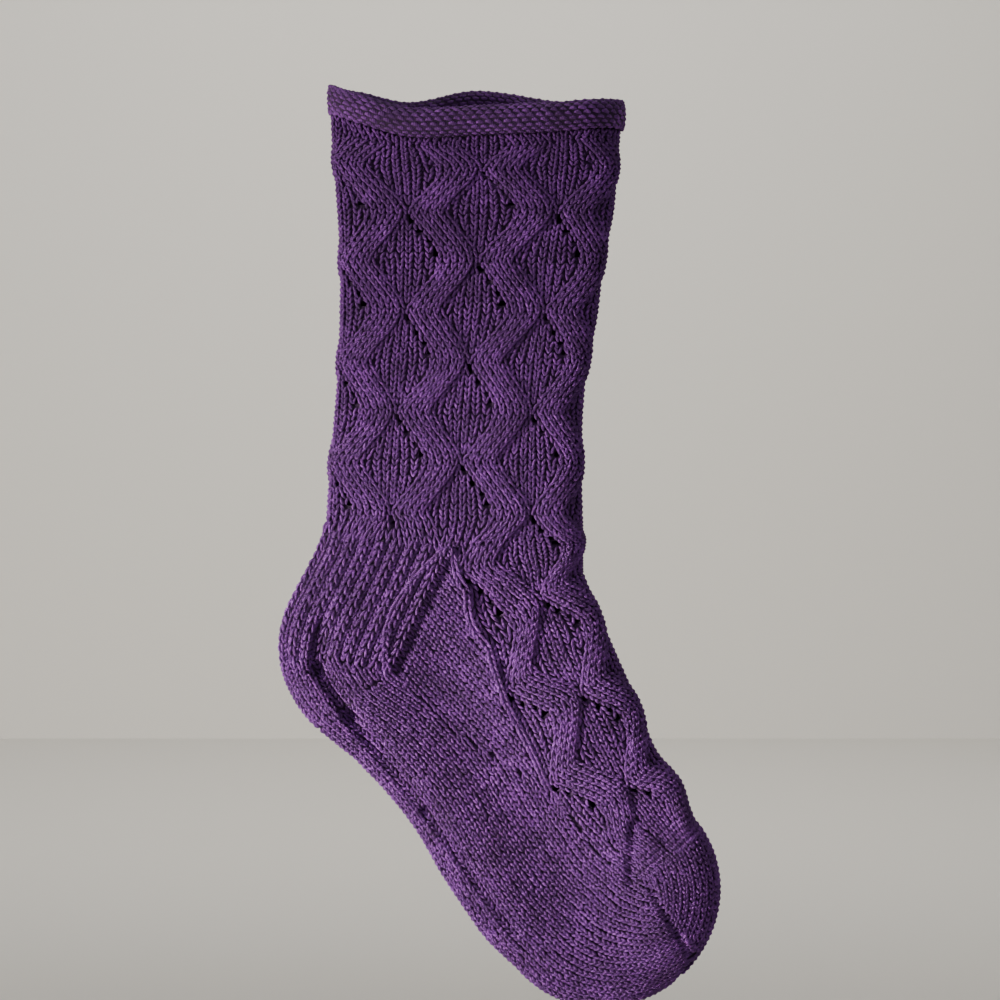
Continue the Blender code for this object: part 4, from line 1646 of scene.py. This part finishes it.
    def section_of(self, points: np.ndarray) -> np.ndarray:
        """Name the section that each point lies in, with a side for the gussets.

        Args:
            points: Points on the sock.

        Returns:
            Name for each point.
        """
        spots = (points + self.form.origin)[:, (0, 2)]
        middle = -self.form.origin[1]
        names = np.full(len(points), "leg", dtype=object)
        for name, outline in self.outlines.items():
            found = inside(outline, spots)
            if name == "gusset":
                names[found & (points[:, 1] < middle)] = "gusset_near"
                names[found & (points[:, 1] >= middle)] = "gusset_far"
            else:
                names[found] = name
        return names

    def backing(self) -> tuple:
        """Grid of the backing behind the stitches.

        Returns:
            Vertices, faces and the middle of each face, with the lace holes left open.
        """
        columns = self.backing_columns
        leg_rows, heel_rows, foot_rows, toe_rows = self.backing_rows
        leg = np.linspace(0.0, 1.0, leg_rows, endpoint=False)
        heel = np.linspace(1.0, 2.0, heel_rows, endpoint=False)
        foot = np.linspace(2.0, self.form.toe_start, foot_rows, endpoint=False)
        reach = np.sin(np.linspace(0.0, math.pi / 2, toe_rows))
        toe = self.form.toe_start + (3 - self.form.toe_start) * reach
        places = np.concatenate((leg, heel, foot, toe))
        around, along = np.meshgrid(np.arange(columns) / columns, places)
        point, facing = self.form.face(around.ravel(), along.ravel())
        point = point - facing * self.backing_depth
        index = np.arange(len(point)).reshape(len(places), columns)
        after = np.roll(index, -1, axis=1)
        quads = np.stack((index[:-1], index[1:], after[1:], after[:-1]), axis=-1).reshape(-1, 4)
        middle = point[quads].mean(axis=1)
        open_cell = np.zeros(len(quads), dtype=bool)
        for hole in self.hole_spots:
            open_cell |= np.linalg.norm(middle - hole, axis=1) < self.hole_opening
        return point, quads[~open_cell], middle[~open_cell]

    def backing_mesh(self, name: str, point: np.ndarray, quads: np.ndarray) -> bpy.types.Mesh:
        """Mesh of the backing of one section."""
        used, flat = np.unique(quads, return_inverse=True)
        return fill_mesh(name, point[used], flat.reshape(-1), np.full(len(quads), 4))


@dataclass
class RolledCuff:
    """Cast-on edge that curls outwards, so that the backs of its stitches show."""

    form: SockForm
    wales: int = WALES
    row: float = 2.15 * MM
    turn_start: float = math.radians(-62)
    turn_end: float = math.radians(288)
    tightening: float = 0.8 * MM
    droop: float = 1.9 * MM
    least_stand: float = 0.2
    inside_rows: int = 18
    inside_start: float = 0.004
    inside_height: float = 0.3 * MM
    bump_depth: float = 0.75 * MM
    backing_start: float = math.radians(-75)
    backing_depth: float = 1.6 * MM
    backing_columns: int = 144
    backing_rows: int = 34

    def surface(self, around: np.ndarray, turn: np.ndarray, depth: float = 0.0) -> tuple:
        """Points and facings of the curl.

        Args:
            around: Shares round the mouth.
            turn: Angles round the curl, 0 where it leaves the inside of the leg.
            depth: Depth below the outer face of the curl.

        Returns:
            Points and unit facings.
        """
        form = self.form
        mouth, facing = form.face(around, np.zeros(np.shape(around)))
        level = unit(facing * np.array((1.0, 1.0, 0.0)))
        across = form.across_at(around)
        stand = smooth_rows(RIM_TABLE, across.ravel())[:, 2].reshape(np.shape(across))
        stand = np.maximum(stand, self.least_stand)
        inner = form.roll_height / 2 - form.wall
        share = np.clip(turn / self.turn_end, 0.0, 1.0)
        reach = form.roll_height / 2 - self.tightening * share
        middle = form.roll_clearance + form.roll_height / 2
        curl = np.maximum(turn, 0.0)
        out = inner - reach * np.cos(curl)
        out = np.where(out > 0, out * stand, out)
        up = middle + reach * np.sin(curl) + reach * np.minimum(turn, 0.0)
        up = up - self.droop * smooth_step(0.75 * math.pi, 1.5 * math.pi, turn)
        narrow = np.where(np.cos(curl) < 0, stand, 1.0)
        way = level * (-np.cos(curl) / narrow)[..., None] + UP * np.sin(curl)[..., None]
        way = unit(way)
        return mouth + level * out[..., None] + UP * up[..., None] - way * depth, way

    def strands(self) -> Strands:
        """Bumps of the reversed stitches, in rows that lie like bricks.

        Returns:
            The strands.
        """
        strands = Strands()
        knitter = Knitter(self.form, strands, seed=11)
        pitch = self.row / (self.form.roll_height / 2)
        rows = int((self.turn_end - self.turn_start) / pitch)
        wale, row = lattice(np.arange(self.wales), np.arange(rows))
        wale = wale + 0.5 * (row % 2)

        def surface(wales: np.ndarray, at: np.ndarray) -> tuple:
            """Points and facings of the curl at wales and rows."""
            turn = self.turn_start + at * pitch
            return self.surface(wales / self.wales, turn, self.bump_depth)

        knitter.purls(wale, row, surface)
        return strands

    def inside_strands(self) -> Strands:
        """Bumps of the reversed stitches on the inside of the mouth, below the curl.

        Returns:
            The strands.
        """
        strands = Strands()
        knitter = Knitter(self.form, strands, seed=12)
        wale, row = lattice(np.arange(self.wales), np.arange(self.inside_rows))
        wale = wale + 0.5 * (row % 2)

        def surface(wales: np.ndarray, at: np.ndarray) -> tuple:
            """Points and facings of the inside of the leg."""
            along = self.inside_start + at * self.row / self.form.leg_length
            along = np.clip(along, 0.0, 1.0)
            point, facing = self.form.face(wales / self.wales, along)
            return point - facing * (self.form.wall - self.inside_height), -facing

        knitter.purls(wale, row, surface)
        return strands

    def backing_mesh(self) -> bpy.types.Mesh:
        """Smooth curl behind the bumps.

        Returns:
            The mesh.
        """
        columns = self.backing_columns
        turns = np.linspace(self.backing_start, self.turn_end, self.backing_rows)
        around, turn = np.meshgrid(np.arange(columns) / columns, turns)
        point, _ = self.surface(around, turn, self.backing_depth)
        index = np.arange(self.backing_rows * columns).reshape(-1, columns)
        after = np.roll(index, -1, axis=1)
        quads = np.stack((index[:-1], after[:-1], after[1:], index[1:]), axis=-1).reshape(-1, 4)
        return fill_mesh("rolled_cuff_backing", point.reshape(-1, 3), quads.ravel(),
                         np.full(len(quads), 4))


@dataclass
class Sock:
    """The whole dressed sock."""

    wool: bpy.types.Material
    # Material of the backing, whose darker colour is painted shade
    depth: bpy.types.Material

    def __post_init__(self) -> None:
        """Work out the form, with the lace's relief on it."""
        self.lace = Lace()
        self.form = SockForm(relief=self.lace.relief)
        self.fabric = SockFabric(self.form, self.lace)
        self.cuff = RolledCuff(self.form)

    def add(self, name: str, mesh: bpy.types.Mesh, material: bpy.types.Material, node: str
            ) -> bpy.types.Object:
        """Add a piece that stands for a node and hangs with the sock.

        Args:
            name: Name of the piece.
            mesh: Its mesh.
            material: Its finish.
            node: Node that it stands for.

        Returns:
            The piece.
        """
        mesh.materials.append(material)
        piece = bpy.data.objects.new(name, mesh)
        bpy.context.scene.collection.objects.link(piece)
        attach(piece, "root")
        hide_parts(node)
        log.info("%s: %d faces", name, len(mesh.polygons))
        return piece

    def add_backing(self, name: str, mesh: bpy.types.Mesh, node: str, thickness: float) -> None:
        """Add backing, thickened inwards, in the material whose darker colour is painted shade.

        Args:
            name: Name of the piece.
            mesh: Its mesh.
            node: Node that it stands for.
            thickness: How thick it is.
        """
        piece = self.add(name, mesh, self.depth, node)
        thicken = piece.modifiers.new("thickness", "SOLIDIFY")
        thicken.thickness = thickness
        thicken.offset = -1.0

    def build(self) -> None:
        """Build every piece."""
        self.fabric.knit_all()
        strands = self.fabric.strands
        path = np.concatenate(strands.paths)
        facing = np.concatenate(strands.facings)
        radius = np.concatenate(strands.radii)
        names = self.fabric.section_of(path[:, 2])
        far = path[:, 2, 1] > -self.form.origin[1]
        for name in sorted(set(names)):
            if name in ("leg", "instep"):
                halves = ((f"{name}_near_stitches", ~far), (f"{name}_far_stitches", far))
            else:
                halves = ((f"{name}_stitches", np.ones(len(path), dtype=bool)),)
            for piece, half in halves:
                keep = (names == name) & half
                some = Strands([path[keep]], [facing[keep]], [radius[keep]])
                self.add(piece, some.mesh(piece), self.wool, name)
        point, quads, middle = self.fabric.backing()
        owners = self.fabric.section_of(middle)
        thickness = self.form.wall - self.fabric.backing_depth
        for name in sorted(set(owners)):
            mesh = self.fabric.backing_mesh(f"{name}_backing", point, quads[owners == name])
            self.add_backing(f"{name}_backing", mesh, name, thickness)
        self.add("rolled_cuff_stitches", self.cuff.strands().mesh("rolled_cuff_stitches"),
                 self.wool, "rolled_cuff")
        self.add("mouth_stitches", self.cuff.inside_strands().mesh("mouth_stitches"),
                 self.wool, "leg")
        self.add_backing("rolled_cuff_backing", self.cuff.backing_mesh(), "rolled_cuff", 1.0 * MM)


@dataclass
class Studio:
    """Pale floor and wall, soft lights and the camera."""

    paint: bpy.types.Material
    aim: tuple = (6.1 * MM, -14.6 * MM, -181.0 * MM)
    toe: tuple = (95.0 * MM, -20.0 * MM, -300.0 * MM)
    behind: tuple = (0.0, 1.7, -0.2)
    distance: float = 1.15
    view_width: float = 0.436
    film_width: float = 36.0
    floor_level: float = -0.44

    def add_sheet(self, name: str, corners: tuple) -> None:
        """Add a flat sheet of the studio.

        Args:
            name: Name of the sheet.
            corners: Its four corners.
        """
        mesh = bpy.data.meshes.new(name)
        mesh.from_pydata(corners, [], [(0, 1, 2, 3)])
        mesh.materials.append(self.paint)
        sheet = bpy.data.objects.new(name, mesh)
        bpy.context.scene.collection.objects.link(sheet)

    def add_light(self, name: str, place: tuple, size: float, watts: float, colour: str,
                  aim: tuple, spread: float = 180.0) -> None:
        """Add a soft square light that points at a place on the sock, with a beam in degrees.

        Args:
            name: Name of the light.
            place: Where it stands.
            size: Side of its square.
            watts: Its power.
            colour: Its sRGB hex colour.
            aim: Point that it faces.
            spread: Angle of its beam.
        """
        light = bpy.data.lights.new(name, "AREA")
        light.shape = "SQUARE"
        light.size = size
        light.energy = watts
        light.spread = math.radians(spread)
        light.color = hex_linear(colour)[:3]
        lamp = bpy.data.objects.new(name, light)
        lamp.location = place
        way = Vector(aim) - Vector(place)
        lamp.rotation_euler = way.to_track_quat("-Z", "Y").to_euler()
        bpy.context.scene.collection.objects.link(lamp)

    def build(self) -> None:
        """Build the studio."""
        low, back = self.floor_level, self.behind[1]
        self.add_sheet("floor", ((-4, -4, low), (4, -4, low), (4, 4, low), (-4, 4, low)))
        self.add_sheet("wall", ((-5, back, low), (5, back, low), (5, back, 4), (-5, back, 4)))
        self.add_light("key", (-1.95, -0.88, -0.32), 0.50, 52.0, "#FFFAF2", self.aim)
        self.add_light("low", (-1.1, -0.62, -0.34), 0.30, 0.75, "#FFFAF2", self.toe, 20.0)
        self.add_light("wash", (0.0, 0.5, 1.0), 1.2, 16.0, "#FFFDF8", self.behind, 150.0)
        self.add_light("fill", (0.9, -2.0, 0.4), 1.6, 6.0, "#F2F4FF", self.aim)
        world = bpy.data.worlds.new("studio")
        world.use_nodes = True
        backdrop = world.node_tree.nodes["Background"]
        backdrop.inputs["Color"].default_value = hex_linear("#D9D8D6")
        backdrop.inputs["Strength"].default_value = 0.27
        bpy.context.scene.world = world
        lens = bpy.data.cameras.new("camera")
        lens.sensor_width = self.film_width
        lens.lens = self.film_width * self.distance / self.view_width
        lens.clip_start = 0.01
        camera = bpy.data.objects.new("camera", lens)
        camera.location = Vector(self.aim) + Vector((0.0, -self.distance, 0.0))
        camera.rotation_euler = (math.radians(90), 0.0, 0.0)
        bpy.context.scene.collection.objects.link(camera)
        bpy.context.scene.camera = camera


def main() -> None:
    """Load the frame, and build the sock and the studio."""
    logging.basicConfig(level=logging.INFO, format="%(name)s: %(message)s")
    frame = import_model()
    log.info("nodes: %s", ", ".join(sorted(frame["nodes"])))
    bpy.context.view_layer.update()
    sock = Sock(PliedWool().material(), KnitBackingPaintedShade().material())
    sock.build()
    Studio(StudioPaint().material()).build()


if __name__ == "__main__":
    main()
